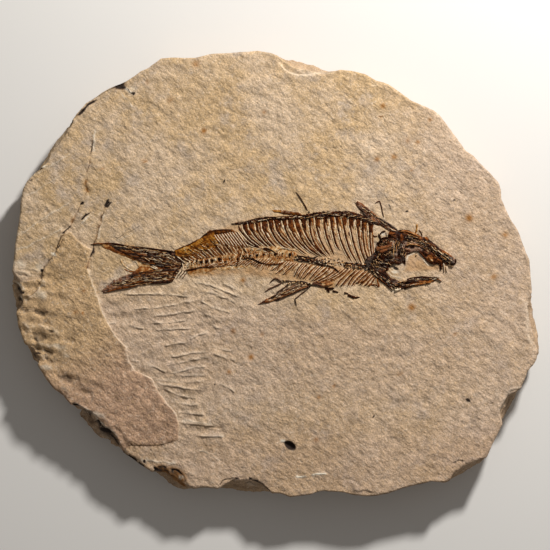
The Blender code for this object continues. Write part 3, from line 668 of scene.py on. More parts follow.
@dataclass
class StoneSlab:
    """The loose plate: its split face, its broken side and its flat back.

    It is first laid out as a square of cells, with rings let down from its edge, and is then
    drawn to the slab's outline.
    """

    face: SplitFace
    rim: Rim
    cells: int = 216
    fine_reach: float = 0.8
    fine_cuts: int = 2
    upper_rings: int = 13
    lower_rings: int = 7
    back_rings: int = 3
    terraces: float = 3.0
    # the height below which the painted shade, the painted highlight and the rust are gone from the side
    shade_and_stain_above: float = 5.4
    side_shade: float = 0.7
    facet: Sector = (143.0, 18.0, 5.0)
    broken_corner: Sector = (224.0, 24.0, 8.0)
    broken_notch: Sector = (184.0, 5.0, 2.0)

    def build(self, finish: bpy.types.Material) -> None:
        """Make the slab and put it in the scene."""
        grid = self.layout()
        mesh = bpy.data.meshes.new("stone_slab_surface")
        grid.to_mesh(mesh)
        grid.free()
        flat = np.empty(len(mesh.vertices) * 3)
        mesh.vertices.foreach_get("co", flat)
        co, tints = self.drawn(flat.reshape(-1, 3))
        mesh.vertices.foreach_set("co", (co * MM).ravel())
        mesh.shade_smooth()
        write_tints(mesh, tints)
        mesh.update()
        placed_object("stone_slab_surface", mesh, "stone_slab", finish)

    def layout(self) -> bmesh.types.BMesh:
        """The square of cells with its rings, one unit down for each ring, closed below."""
        mesh = bmesh.new()
        bmesh.ops.create_grid(mesh, x_segments=self.cells, y_segments=self.cells, size=1.0)
        square = np.array([vert.co[:] for vert in mesh.verts])
        x, y, _, far = self.spread(square[:, 0], square[:, 1])
        near = self.face.beside_creases(x, y, self.fine_reach) & (far < 0.99)
        fine = [edge for edge in mesh.edges if near[edge.verts[0].index] and near[edge.verts[1].index]]
        bmesh.ops.subdivide_edges(mesh, edges=fine, cuts=self.fine_cuts, use_grid_fill=True)
        edges = [edge for edge in mesh.edges if edge.is_boundary]
        for _ in range(self.upper_rings + self.lower_rings + self.back_rings):
            made = bmesh.ops.extrude_edge_only(mesh, edges=edges)["geom"]
            verts = [item for item in made if isinstance(item, bmesh.types.BMVert)]
            edges = [item for item in made if isinstance(item, bmesh.types.BMEdge) and item.is_boundary]
            bmesh.ops.translate(mesh, verts=verts, vec=(0.0, 0.0, -1.0))
        bmesh.ops.contextual_create(mesh, geom=edges)
        bmesh.ops.recalc_face_normals(mesh, faces=mesh.faces)
        return mesh

    def spread(self, u: Array, v: Array) -> tuple[Array, Array, Array, Array]:
        """Draw the square out to the lip: each point's x, y, angle and share of the way out."""
        far = np.maximum(np.abs(u), np.abs(v))
        safe = np.maximum(far, 1e-9)
        eighth = math.pi / 4.0
        turn = np.where(
            np.abs(u) >= np.abs(v),
            np.where(u >= 0.0, v / safe * eighth, math.pi - v / safe * eighth),
            np.where(v >= 0.0, math.pi / 2.0 - u / safe * eighth, 1.5 * math.pi + u / safe * eighth),
        ) % math.tau
        lip, soft = self.rim.at(self.rim.lip, turn), self.rim.at(self.rim.soft, turn)
        hold = far**8
        reach = far * (soft * (1.0 - hold) + lip * hold)
        return reach * np.cos(turn), reach * np.sin(turn), turn, far

    def drawn(self, square: Array) -> tuple[Array, dict[str, Array]]:
        """Draw the square layout to the slab's shape.

        Args:
            square: the layout's points, with the ring's number as minus their height.

        Returns:
            The slab's points, and the tints of each.
        """
        ring = np.rint(-square[:, 2])
        x, y, turn, far = self.spread(square[:, 0], square[:, 1])
        top = ring == 0.0
        inner = np.nonzero(top & (far < 0.985))[0]
        moved_x, moved_y = self.face.gather(x[inner], y[inner])
        x[inner], y[inner] = moved_x, moved_y
        z = np.zeros(x.shape)
        z[top] = self.face.height(x[top], y[top])
        edge = self.face.swell(x, y) + self.face.layer_rise(y) * smooth(depth_inside(x, y, LAYER) / 0.3 + 0.5)
        edge[top] = z[top]
        near = np.nonzero(~top)[0]
        x[near], y[near], z[near], pockets = self.side(ring[near], turn[near], edge[near])
        tints = self.face.tints(x, y)
        # the pockets of the broken side are painted dark as shade; down the side the painted shade, highlight
        # and rust fade out
        tints["dark"][near] = np.maximum(tints["dark"][near], pockets)
        for name in ("dark", "pale", "rust"):
            tints[name][near] *= smooth((z[near] - self.shade_and_stain_above) / 3.4)
        tints["dark"][near] *= self.side_shade
        tints["stain"][near] = 0.0
        facet = sector(turn, *self.facet) * smooth((z - self.shade_and_stain_above) / 2.0)
        tints["side"] = np.where(top, 0.0, 1.0 - facet)
        return np.stack((x, y, z), axis=1), tints

    def side(self, ring: Array, turn: Array, edge: Array) -> tuple[Array, Array, Array, Array]:
        """The points of the broken side, down to the back's middle, and how deep in a pocket each is, for the
        shade painted in the pockets.
        """
        widest, lip = self.rim.at(self.rim.widest, turn), self.rim.at(self.rim.lip, turn)
        cos, sin = np.cos(turn), np.sin(turn)
        wx, wy = widest * cos, widest * sin
        share = np.clip(ring / self.upper_rings, 0.0, 1.0)
        jitter = 0.35 * bumps(wx, wy, 5.0, 2.0)
        steps = share * self.terraces + jitter
        stair = (np.floor(steps) + smooth((steps - np.floor(steps)) * 3.0 - 1.0)) / self.terraces
        fall = np.clip(0.45 * share**0.7 + 0.55 * stair, 0.0, 1.0)
        gentle = sector(turn, *self.facet)
        fall = fall + (share**3 - fall) * gentle
        fall = np.where(share >= 1.0, 1.0, fall)
        z = edge + (WIDEST_HEIGHT - edge) * fall
        reach = lip + (widest - lip) * share
        below = np.clip((ring - self.upper_rings) / self.lower_rings, 0.0, 1.0)
        z = np.where(below > 0.0, WIDEST_HEIGHT * (1.0 - below), z)
        reach = np.where(below > 0.0, widest - 3.2 * below**1.6, reach)
        rough = np.clip(share * 4.0, 0.0, 1.0)
        dents = np.abs(bumps(wx, wy, 5.5, 4.0, 2.2 * z)) * 0.9
        dents += np.abs(bumps(wx, wy, 2.2, 6.0, 2.6 * z)) * 0.5
        dents += np.abs(bumps(wx, wy, 1.0, 8.0, 1.8 * z)) * 0.22
        broken = sector(turn, *self.broken_corner)
        broken = np.maximum(broken, 0.7 * sector(turn, *self.broken_notch))
        pockets = broken * smooth(3.2 * bumps(wx, wy, 2.4, 21.0, 2.2 * z) + 0.35)
        pockets = pockets * np.clip(share * 2.5, 0.0, 1.0)
        dents += 1.1 * pockets
        reach = reach - rough * dents * (1.0 - 0.5 * (below >= 1.0))
        inward = np.clip(ring - self.upper_rings - self.lower_rings, 0.0, None)
        reach = reach * (1.0 - 0.12 * inward)
        z = np.where(inward > 0.0, 0.0, z)
        return reach * cos, reach * sin, z, np.where(below >= 1.0, 0.0, pockets)


class Graph:
    """A node tree, with short ways to add nodes and to join them."""

    def __init__(self, tree: bpy.types.NodeTree) -> None:
        self.tree = tree

    def add(self, kind: str, inputs: dict | None = None, **settings: object) -> bpy.types.Node:
        """Add a node, set it up, and set or join its inputs.

        Args:
            kind: the node's type, without its ShaderNode prefix.
            inputs: for each input's name or number, a value or the output to join to it.
            settings: the node's own settings.

        Returns:
            The node.
        """
        node = self.tree.nodes.new(f"ShaderNode{kind}")
        for name, value in settings.items():
            setattr(node, name, value)
        for name, value in (inputs or {}).items():
            if isinstance(value, bpy.types.NodeSocket):
                self.tree.links.new(value, node.inputs[name])
            else:
                node.inputs[name].default_value = value
        return node

    def math(self, operation: str, *values: object) -> bpy.types.NodeSocket:
        """The result of a sum on values or outputs."""
        return self.add("Math", dict(enumerate(values)), operation=operation).outputs[0]

    def blend(self, share: object, a: object, b: object, mode: str = "MIX") -> bpy.types.NodeSocket:
        """A colour between a and b."""
        values = [(*c, 1.0) if isinstance(c, tuple) and len(c) == 3 else c for c in (a, b)]
        node = self.add("Mix", {0: share, 6: values[0], 7: values[1]}, data_type="RGBA", blend_type=mode)
        return node.outputs[2]

    def tint(self, name: str) -> bpy.types.NodeSocket:
        """The value of one of the mesh's tints."""
        return self.add("Attribute", attribute_name=name).outputs["Fac"]

    def noise(self, place: bpy.types.NodeSocket, length: float, detail: float = 2.0,
              rough: float = 0.5) -> bpy.types.NodeSocket:
        """Soft noise whose bumps are about this many millimetres apart."""
        inputs = {"Vector": place, "Scale": 1.0 / length, "Detail": detail, "Roughness": rough}
        return self.add("TexNoise", inputs).outputs["Fac"]

    def ramp(self, value: bpy.types.NodeSocket,
             stops: Sequence[tuple[float, Colour]]) -> bpy.types.NodeSocket:
        """The colour of a ramp at a value."""
        node = self.add("ValToRGB", {0: value})
        elements = node.color_ramp.elements
        while len(elements) < len(stops):
            elements.new(0.5)
        for element, (place, colour) in zip(elements, stops):
            element.position = place
            element.color = (*colour, 1.0)
        return node.outputs[0]

    def span(self, value: object, low: float, high: float, to_low: float = 0.0,
             to_high: float = 1.0) -> bpy.types.NodeSocket:
        """A value drawn from one span to another, smoothly and held at its ends."""
        inputs = {0: value, 1: low, 2: high, 3: to_low, 4: to_high}
        return self.add("MapRange", inputs, interpolation_type="SMOOTHSTEP").outputs[0]


def effect_group(name: str, inputs: dict[str, str], outputs: dict[str, str]
                 ) -> tuple[bpy.types.NodeTree, Graph, bpy.types.Node, bpy.types.Node]:
    """A new node group with these sockets: its tree, its graph, its input and its output node."""
    tree = bpy.data.node_groups.new(name, "ShaderNodeTree")
    for label, kind in inputs.items():
        tree.interface.new_socket(label, in_out="INPUT", socket_type=f"NodeSocket{kind}")
    for label, kind in outputs.items():
        tree.interface.new_socket(label, in_out="OUTPUT", socket_type=f"NodeSocket{kind}")
    return tree, Graph(tree), tree.nodes.new("NodeGroupInput"), tree.nodes.new("NodeGroupOutput")


def grain_group() -> bpy.types.NodeTree:
    """The fine grain of the rock, shared by stone and bone: a height and a fleck value."""
    tree, graph, _, result = effect_group("rock_grain", {}, {"Place": "Vector", "Height": "Float",
                                                             "Fleck": "Float"})
    object_place = graph.add("TexCoord").outputs["Object"]
    place = graph.add("VectorMath", {0: object_place, "Scale": 1.0 / MM}, operation="SCALE").outputs[0]
    drawn_out = graph.add("Mapping",
                          {"Vector": place, "Rotation": (0.0, 0.0, -0.72), "Scale": (1.4, 1.0, 1.0)},
                          vector_type="TEXTURE").outputs[0]
    broad = graph.noise(drawn_out, 3.0, 2.0, 0.5)
    coarse = graph.noise(drawn_out, 1.3, 3.0, 0.6)
    fine = graph.noise(drawn_out, 0.5, 3.0, 0.65)
    height = graph.math("ADD", graph.math("MULTIPLY", coarse, 0.72), graph.math("MULTIPLY", fine, 0.2))
    height = graph.math("ADD", height, graph.math("MULTIPLY", broad, 0.9))
    fleck = graph.noise(place, 0.4, 2.0, 0.7)
    tree.links.new(place, result.inputs["Place"])
    tree.links.new(height, result.inputs["Height"])
    tree.links.new(fleck, result.inputs["Fleck"])
    return tree


@dataclass(frozen=True)
class StoneFinish:
    """The look of the limestone."""

    cream: Colour = (0.55, 0.415, 0.285)
    ochre: Colour = (0.495, 0.345, 0.19)
    grey: Colour = (0.44, 0.345, 0.26)
    blush: Colour = (0.475, 0.35, 0.262)
    layer: Colour = (0.455, 0.30, 0.15)
    mauve: Colour = (0.42, 0.265, 0.185)
    side: Colour = (0.36, 0.245, 0.15)
    stain: Colour = (0.44, 0.245, 0.10)
    rust: Colour = (0.31, 0.14, 0.036)
    crumb: Colour = (0.62, 0.52, 0.41)
    # painted shade, for cracks, crevices, pits and the hollows of the folds
    dark: Colour = (0.022, 0.013, 0.009)
    # painted highlight on crests and lips, and the stone's own white spots
    pale: Colour = (0.78, 0.72, 0.60)
    bump: float = 0.7

    def material(self, grain: bpy.types.NodeTree) -> bpy.types.Material:
        """Make the material."""
        material = bpy.data.materials.new("limestone_surface")
        material.use_nodes = True
        graph = Graph(material.node_tree)
        shader = material.node_tree.nodes["Principled BSDF"]
        rock = graph.add("Group", node_tree=grain)
        place, height, fleck = rock.outputs["Place"], rock.outputs["Height"], rock.outputs["Fleck"]
        clouds = graph.span(graph.noise(place, 17.0, 4.0, 0.6), 0.36, 0.62)
        colour = graph.blend(clouds, self.cream, self.ochre)
        colour = graph.blend(graph.span(graph.noise(place, 8.0, 4.0, 0.65), 0.48, 0.72), colour, self.grey)
        colour = graph.blend(graph.math("MULTIPLY", graph.tint("blush"), 0.6), colour, self.blush)
        colour = graph.blend(graph.math("MULTIPLY", graph.tint("layer"), 0.8), colour, self.layer)
        colour = graph.blend(graph.math("MULTIPLY", graph.tint("mauve"), 0.75), colour, self.mauve)
        colour = graph.blend(graph.math("MULTIPLY", graph.tint("side"), 0.8), colour, self.side)
        patch = graph.noise(place, 2.6, 4.0, 0.7)
        deep = graph.span(graph.tint("layer"), 0.0, 1.0, 0.2, 0.30)
        mottle = graph.math("ADD", 1.0, graph.math("MULTIPLY", deep, graph.span(patch, 0.3, 0.7, -1.0, 0.85)))
        speck = graph.span(fleck, 0.25, 0.75, 0.72, 1.28)
        crumb = graph.noise(place, 0.9, 3.0, 0.7)
        colour = graph.blend(graph.span(crumb, 0.52, 0.7, 0.0, 0.42), colour, self.crumb)
        colour = graph.blend(graph.span(crumb, 0.46, 0.3, 0.0, 0.5), colour, self.ochre)
        shade = graph.math("MULTIPLY", mottle, speck)
        grey = graph.add("CombineColor", {0: shade, 1: shade, 2: shade}).outputs[0]
        colour = graph.blend(1.0, colour, grey,
                             "MULTIPLY")
        # stain and rust are the stone's own colour; pale is mostly painted highlight and dark mostly painted
        # shade
        for name, tone in (
            ("stain", self.stain), ("rust", self.rust), ("pale", self.pale), ("dark", self.dark),
        ):
            ragged = graph.math("MULTIPLY", graph.tint(name), graph.span(patch, 0.2, 0.62, 0.55, 1.35))
            share = graph.span(ragged, 0.12, 0.75) if name == "dark" else ragged
            share = graph.math("MINIMUM", share, 1.0)
            colour = graph.blend(share, colour, tone)
        height = graph.math("MULTIPLY", height, graph.span(graph.tint("layer"), 0.0, 1.0, 1.0, 1.2))
        height = graph.math("MULTIPLY", height, graph.span(graph.tint("folds"), 0.0, 1.0, 1.0, 0.7))
        relief = graph.add("Bump", {"Height": height, "Strength": self.bump, "Distance": MM})
        graph.tree.links.new(colour, shader.inputs["Base Color"])
        graph.tree.links.new(relief.outputs[0], shader.inputs["Normal"])
        shader.inputs["Roughness"].default_value = 0.86
        shader.inputs["Specular IOR Level"].default_value = 0.25
        return material


AMBER_TONES = (
    (0.0, (0.014, 0.004, 0.0015)), (0.18, (0.060, 0.017, 0.004)), (0.36, (0.15, 0.046, 0.006)),
    (0.55, (0.285, 0.108, 0.012)), (0.72, (0.41, 0.205, 0.042)), (0.88, (0.54, 0.36, 0.16)),
    (1.0, (0.70, 0.56, 0.40)),
)


@dataclass(frozen=True)
class BoneFinish:
    """The look of mineral-stained bone, from its darkest tone to its palest."""

    name: str
    tones: tuple[tuple[float, Colour], ...] = (
        (0.0, (0.010, 0.0025, 0.001)), (0.18, (0.040, 0.010, 0.003)), (0.36, (0.122, 0.034, 0.008)),
        (0.55, (0.265, 0.090, 0.019)), (0.72, (0.40, 0.215, 0.080)), (0.88, (0.55, 0.40, 0.23)),
        (1.0, (0.76, 0.62, 0.44)),
    )
    # the grey of glints of the light, painted into the bone's colour
    painted_sheen: Colour = (0.42, 0.35, 0.28)
    roughness: float = 0.5
    bump: float = 0.9

    def material(self, grain: bpy.types.NodeTree) -> bpy.types.Material:
        """Make the material."""
        material = bpy.data.materials.new(self.name)
        material.use_nodes = True
        graph = Graph(material.node_tree)
        shader = material.node_tree.nodes["Principled BSDF"]
        rock = graph.add("Group", node_tree=grain)
        place, height, fleck = rock.outputs["Place"], rock.outputs["Height"], rock.outputs["Fleck"]
        drift = graph.math("MULTIPLY", graph.math("SUBTRACT", graph.noise(place, 0.9, 3.0, 0.6), 0.5), 0.9)
        drift = graph.math("ADD", drift, graph.math("MULTIPLY", graph.math("SUBTRACT", fleck, 0.5), 0.3))
        colour = graph.ramp(graph.math("ADD", graph.tint("tone"), drift), self.tones)
        # painted highlight: grey glints mixed into the colour where the glint share is high
        colour = graph.blend(graph.math("MULTIPLY", graph.tint("painted_sheen"), graph.span(fleck, 0.3, 0.7)),
                             colour, self.painted_sheen)
        relief = graph.add("Bump", {"Height": height, "Strength": self.bump, "Distance": 0.6 * MM})
        graph.tree.links.new(colour, shader.inputs["Base Color"])
        graph.tree.links.new(relief.outputs[0], shader.inputs["Normal"])
        shader.inputs["Roughness"].default_value = self.roughness
        shader.inputs["Specular IOR Level"].default_value = 0.03
        return material


@dataclass(frozen=True)
class Bar:
    """A slender bone along a line: its widths at both ends, and how far it stands proud."""

    line: Line
    widths: Point
    tone: float = 0.15
    height: float = 0.22
    # share of grey glint painted on the bar as a highlight
    painted_sheen: float = 0.0
    lift: float = 0.0
    waver: float = 0.05


@dataclass(frozen=True)
class Patch:
    """A soft patch of tone on a plate of bone: its middle, radii, tone and turn, its painted glint and its
    rise.
    """

    place: Point
    radii: Point
    tone: float
    turn: float = 0.0
    painted_sheen: float = 0.0
    rise: float = 0.0


def blotches(*rows: tuple[float, ...]) -> tuple[Patch, ...]:
    """A patch for each row: x, y, the two radii, the tone and, where they aren't 0, the rest in order."""
    return tuple(Patch((x, y), (long, wide), *rest) for x, y, long, wide, *rest in rows)


@dataclass(frozen=True)
class Plate:
    """A flat bone or a fin's web, with streaks that fan out from a point.

    streak_count is how many streaks go round the fan, and streak_length how long they are, in millimetres.
    """

    outline: Line
    fan: Point
    streak_count: float = 60.0
    streak_length: float = 5.0
    thickness: float = 0.28
    crumple: float = 0.12
    crumple_size: float = 1.4
    tone: float = 0.25
    tone_drift: float = 0.5
    # share of grey glint painted on the plate as a highlight
    painted_sheen: float = 0.3
    cell: float = 0.28
    edge: float = 0.3
    ragged: float = 0.0
    patches: tuple[Patch, ...] = ()
    sunk: float = 0.0
    pale_edge: float = 0.0


class BonePiece:
    """One bone of the fish, gathered from bars and plates that lie on the split face."""

    RING_SIDES = 8
    RINGS = 9
    ROOT = 0.35

    def __init__(self, face: SplitFace, node: str, slot: str) -> None:
        self.face = face
        self.node = node
        self.slot = slot
        self.mesh = bmesh.new()
        self.tone = self.mesh.verts.layers.float.new("tone")
        # each point's share of painted glint: grey highlights painted into the bone's colour
        self.painted_sheen = self.mesh.verts.layers.float.new("painted_sheen")
        self.seed = 0.37 * len(node)
        self.template = self.tube()

    @classmethod
    def tube(cls) -> bpy.types.Mesh:
        """A closed tube of unit length and radius along +X, cut into rings."""
        mesh = bmesh.new()
        bmesh.ops.create_cone(mesh, cap_ends=True, segments=cls.RING_SIDES,
                              radius1=1.0, radius2=1.0, depth=1.0)
        long_edges = [edge for edge in mesh.edges if abs(edge.verts[0].co.z - edge.verts[1].co.z) > 0.5]
        bmesh.ops.subdivide_edges(mesh, edges=long_edges, cuts=cls.RINGS - 2)
        bmesh.ops.translate(mesh, verts=mesh.verts, vec=(0.0, 0.0, 0.5))
        bmesh.ops.rotate(mesh, verts=mesh.verts, cent=(0.0, 0.0, 0.0),
                         matrix=Matrix.Rotation(math.pi / 2, 3, "Y"))
        template = bpy.data.meshes.new("bar_template")
        mesh.to_mesh(template)
        mesh.free()
        return template

    def added(self, template: bpy.types.Mesh) -> list[bmesh.types.BMVert]:
        """Add a copy of a template to the piece, and return its points."""
        before = len(self.mesh.verts)
        self.mesh.from_mesh(template)
        self.mesh.verts.ensure_lookup_table()
        return self.mesh.verts[before:]

    def bar(self, bar: Bar) -> None:
        """Lay a slender bone along its line."""
        self.seed += 1.618
        verts = self.added(self.template)
        co = np.array([vert.co[:] for vert in verts])
        points = rounded_line(bar.line)
        steps = np.hypot(*np.diff(points, axis=0).T)
        run = np.concatenate(([0.0], np.cumsum(steps)))
        share = np.clip(co[:, 0], 0.0, 1.0)
        along = share * run[-1]
        x, y = np.interp(along, run, points[:, 0]), np.interp(along, run, points[:, 1])
        ahead = np.minimum(along + 0.05, run[-1])
        behind = np.maximum(along - 0.05, 0.0)
        dx = np.interp(ahead, run, points[:, 0]) - np.interp(behind, run, points[:, 0])
        dy = np.interp(ahead, run, points[:, 1]) - np.interp(behind, run, points[:, 1])
        size = np.maximum(np.hypot(dx, dy), 1e-9)
        side_x, side_y = -dy / size, dx / size
        width = (bar.widths[0] + (bar.widths[1] - bar.widths[0]) * share) / 2.0
        wander = np.array([noise.noise(Vector((a / 1.1, self.seed, 0.3))) for a in along.tolist()])
        swelling = np.array([noise.noise(Vector((a / 0.8, self.seed, 5.1))) for a in along.tolist()])
        rounding = np.clip((1.0 - np.abs(2.0 * share - 1.0) ** 10) ** 0.5, 0.3, 1.0)
        width = width * rounding * (1.0 + 0.45 * swelling)
        sideways = co[:, 1] * width + wander * bar.waver * 1.5
        ground = self.face.height(x, y)
        px, py = x + side_x * sideways, y + side_y * sideways
        proud = co[:, 2] * bar.height * rounding * (1.0 + 0.4 * swelling)
        up = np.where(co[:, 2] > 0.0, proud, co[:, 2] * self.ROOT)
        pz = ground + bar.lift + up
        for vert, a, b, c, s in zip(verts, px, py, pz, swelling):
            vert.co = (a, b, c)
            vert[self.tone] = bar.tone + 0.12 * s
            vert[self.painted_sheen] = bar.painted_sheen

    def plate(self, plate: Plate) -> None:
        """Lay a flat bone: a cut-out of a fine sheet, thickened, streaked and crumpled."""
        self.seed += 1.618
        xs, ys = [p[0] for p in plate.outline], [p[1] for p in plate.outline]
        wide, deep = max(xs) - min(xs), max(ys) - min(ys)
        sheet = bmesh.new()
        bmesh.ops.create_grid(sheet, x_segments=max(2, round(wide / plate.cell)),
                              y_segments=max(2, round(deep / plate.cell)), size=0.5)
        bmesh.ops.scale(sheet, verts=sheet.verts, vec=(wide, deep, 1.0))
        middle = ((max(xs) + min(xs)) / 2.0, (max(ys) + min(ys)) / 2.0, 0.0)
        bmesh.ops.translate(sheet, verts=sheet.verts, vec=middle)
        centres = np.array([face.calc_center_median()[:2] for face in sheet.faces])
        fray_x = plate.ragged * bumps(centres[:, 0], centres[:, 1], 0.9, self.seed + 9.0)
        fray_y = plate.ragged * bumps(centres[:, 0], centres[:, 1], 0.9, self.seed + 12.0)
        kept = inside(centres[:, 0] + fray_x, centres[:, 1] + fray_y, plate.outline)
        outside = [face for face, keep in zip(sheet.faces, kept) if not keep]
        bmesh.ops.delete(sheet, geom=outside, context="FACES")
        edge_verts = [vert for vert in sheet.verts if vert.is_boundary]
        for _ in range(2):
            bmesh.ops.smooth_vert(sheet, verts=edge_verts, factor=0.5, use_axis_x=True, use_axis_y=True)
        made = bmesh.ops.extrude_face_region(sheet, geom=list(sheet.faces))["geom"]
        tops = {item for item in made if isinstance(item, bmesh.types.BMVert)}
        for vert in sheet.verts:
            vert.co.z = 1.0 if vert in tops else -1.0
        bmesh.ops.recalc_face_normals(sheet, faces=sheet.faces)
        template = bpy.data.meshes.new("plate_template")
        sheet.to_mesh(template)
        sheet.free()
        verts = self.added(template)
        bpy.data.meshes.remove(template)
        co = np.array([vert.co[:] for vert in verts])
        x, y, top = co[:, 0], co[:, 1], co[:, 2] > 0.0
        relief, tone, painted_sheen = self.plate_surface(plate, x, y)
        rim = np.clip(depth_inside(x, y, plate.outline), 0.0, None)
        swelling = 1.0 - np.exp(-rim / plate.edge)
        tone = tone + plate.pale_edge * (1.0 - swelling)
        ground = self.face.height(x, y)
        proud = ground + 0.04 - plate.sunk + swelling * (plate.thickness + relief)
        z = np.where(top, proud, ground - self.ROOT)
        for vert, c, t, s in zip(verts, z, tone, painted_sheen):
            vert.co.z = c
            vert[self.tone] = t
            vert[self.painted_sheen] = s

    def plate_surface(self, plate: Plate, x: Array, y: Array) -> tuple[Array, Array, Array]:
        """The relief, the tone and the painted glint of a plate at each point."""
        dx, dy = x - plate.fan[0], y - plate.fan[1]
        away, heading = np.hypot(dx, dy), np.arctan2(dy, dx) % math.tau
        streak = bumps(heading * plate.streak_count / math.tau, away / plate.streak_length, 1.0, self.seed)
        second = bumps(heading * plate.streak_count * 2.1 / math.tau, away / plate.streak_length, 1.0,
                       self.seed + 40.0)
        rough = bumps(x, y, plate.crumple_size, self.seed + 3.0)
        fine = bumps(x, y, plate.crumple_size * 0.45, self.seed + 6.0)
        folded = 0.9 * (1.0 - 2.0 * np.abs(rough))
        relief = plate.crumple * (0.9 * streak + 0.5 * second + folded + 0.5 * fine)
        tone = plate.tone + plate.tone_drift * (0.5 * streak + 0.35 * second + 0.35 * rough)
        painted_sheen = plate.painted_sheen * smooth(0.4 + 1.6 * second + 0.8 * fine)
        for patch in plate.patches:
            turn = math.radians(patch.turn)
            px, py = x - patch.place[0], y - patch.place[1]
            a = (px * math.cos(turn) + py * math.sin(turn)) / patch.radii[0]
            b = (py * math.cos(turn) - px * math.sin(turn)) / patch.radii[1]
            share = 1.0 - smooth((np.hypot(a, b) + 0.35 * fine - 0.75) / 0.5)
            tone = tone + (patch.tone + 0.3 * plate.tone_drift * (streak + fine) - tone) * share
            painted_sheen = painted_sheen + (patch.painted_sheen - painted_sheen) * share
            relief = relief + patch.rise * share
        return np.maximum(relief, -0.8 * plate.thickness), tone, np.clip(painted_sheen, 0.0, 1.0)

    def finish(self, materials: dict[str, bpy.types.Material]) -> None:
        """Turn the gathered bone into the scene's object."""
        bmesh.ops.scale(self.mesh, vec=(MM, MM, MM), verts=self.mesh.verts)
        data = bpy.data.meshes.new(f"{self.node}_bone")
        self.mesh.to_mesh(data)
        self.mesh.free()
        bpy.data.meshes.remove(self.template)
        data.shade_smooth()
        placed_object(f"{self.node}_bone", data, self.node, materials[self.slot])


def rounded_line(line: Line, rounds: int = 2) -> Array:
    """A line with its corners cut twice, so that it bends smoothly."""
    points = np.array(line, float)
    for _ in range(rounds if len(points) > 2 else 0):
        a, b = points[:-1], points[1:]
        cut = np.empty((2 * len(a), 2))
        cut[0::2], cut[1::2] = a * 0.75 + b * 0.25, a * 0.25 + b * 0.75
        points = np.vstack((points[:1], cut, points[-1:]))
    return points


def along_line(line: Line, x: float) -> float:
    """The y of a line at this x, held level past its ends."""
    return float(np.interp(x, [p[0] for p in line], [p[1] for p in line]))


COLUMN: Line = path(
    -2660, 230, -2120, 350, -1560, 420, -1000, 480, -380, 550, 410, 520, 970, 420, 1450, 350, 1950, 290,
    2430, 210, 2900, 90,
)
COLUMN_BAND: Line = path(
    -2600, 390, -2400, 450, -2180, 480, -1950, 510, -1730, 560, -1450, 590, -1170, 660, -910, 760, -720,
    700, -520, 770, -270, 780, -40, 810, 210, 760, 410, 690, 600, 590, 630, 390, 410, 320, 130, 340, -150,
    280, -490, 330, -800, 380, -1050, 280, -1330, 200, -1670, 200, -1950, 160, -2230, 110, -2510, 100,
)
UNDER_BAND: Line = path(
    -2510, 170, -2120, 210, -1670, 220, -1220, 260, -720, 310, -490, 220, -720, 140, -1050, 110, -1390,
    60, -1730, 80, -1920, -30, -2210, 0, -2400, -70, -2500, 0,
)
PITS: list[tuple[float, float, float]] = [
    (-24.58, 2.64, 0.3), (-23.57, 3.26, 0.4), (-22.22, 3.6, 0.45), (-20.93, 3.37, 0.95),
    (-19.47, 3.6, 0.85), (-17.72, 3.82, 0.9), (-15.76, 4.27, 0.95), (-14.19, 3.43, 0.45),
    (-12.28, 4.78, 0.5), (-10.59, 4.3, 0.7), (-9.02, 5.06, 0.4), (-7.16, 5.17, 0.6), (-5.2, 5.28, 0.75),
    (-3.37, 5.56, 0.5), (-0.03, 5.62, 0.85), (1.99, 5.73, 0.5), (3.99, 5.48, 1), (-6.88, 6.85, 0.3),
    (-1.66, 5.79, 0.35),
]
LUMPS: list[tuple[float, float, int, float, Point]] = [
    (-26.0, -22.0, 34, 2.0, (0.66, 1.02)), (-22.3, -8.3, 60, 2.4, (0.5, 1.0)),
    (-22.3, -8.3, 44, 2.6, (0.05, 0.4)), (-8.8, 6.0, 90, 3.6, (0.5, 0.98)),
    (-8.8, 6.0, 46, 3.8, (0.14, 0.5)), (13.6, 19.8, 36, 2.0, (0.6, 1.1)),
    (13.6, 19.8, 16, 2.0, (0.0, 0.3)),
]
CRUSHED: list[tuple[Point, Point, int]] = [
    ((5.48, 4.49), (14.47, 3.37), 46), ((19.52, 2.64), (27.67, 1.8), 60), ((-9.13, 4.78), (-6.6, 4.21), 9),
]
SCUTE_ROW: Line = path(
    -1138, 1416, -890, 1449, -632, 1517, -407, 1548, -211, 1573, 14, 1584, 267, 1596, 548, 1612, 801,
    1629, 997, 1669, 1250, 1697, 1654, 1713, 1896, 1725, 2140, 1713, 2382, 1640, 2590, 1545, 2767, 1461,
    2963, 1416,
)
SCUTE_CRUMBS: list[tuple[Point, Point, int, float]] = [
    ((-8.85, 14.44), (-2.11, 15.34), 14, 0.7), ((-2.67, 15.45), (4.63, 15.84), 16, 0.9),
    ((4.07, 15.84), (10.25, 16.12), 20, 1.3), ((9.13, 16.29), (14.75, 16.57), 26, 1.9),
    ((14.19, 16.57), (20.37, 16.69), 26, 1.6), ((19.8, 16.57), (24.3, 15.73), 22, 1.5),
    ((23.74, 15.84), (27.39, 14.33), 16, 1.3),
]
SCUTE_WIDTHS: Line = path(
    -1140, 30, -800, 60, -400, 85, 200, 90, 800, 100, 1100, 150, 1600, 170, 2000, 150, 2400, 130, 2700,
    100, 2950, 50,
)
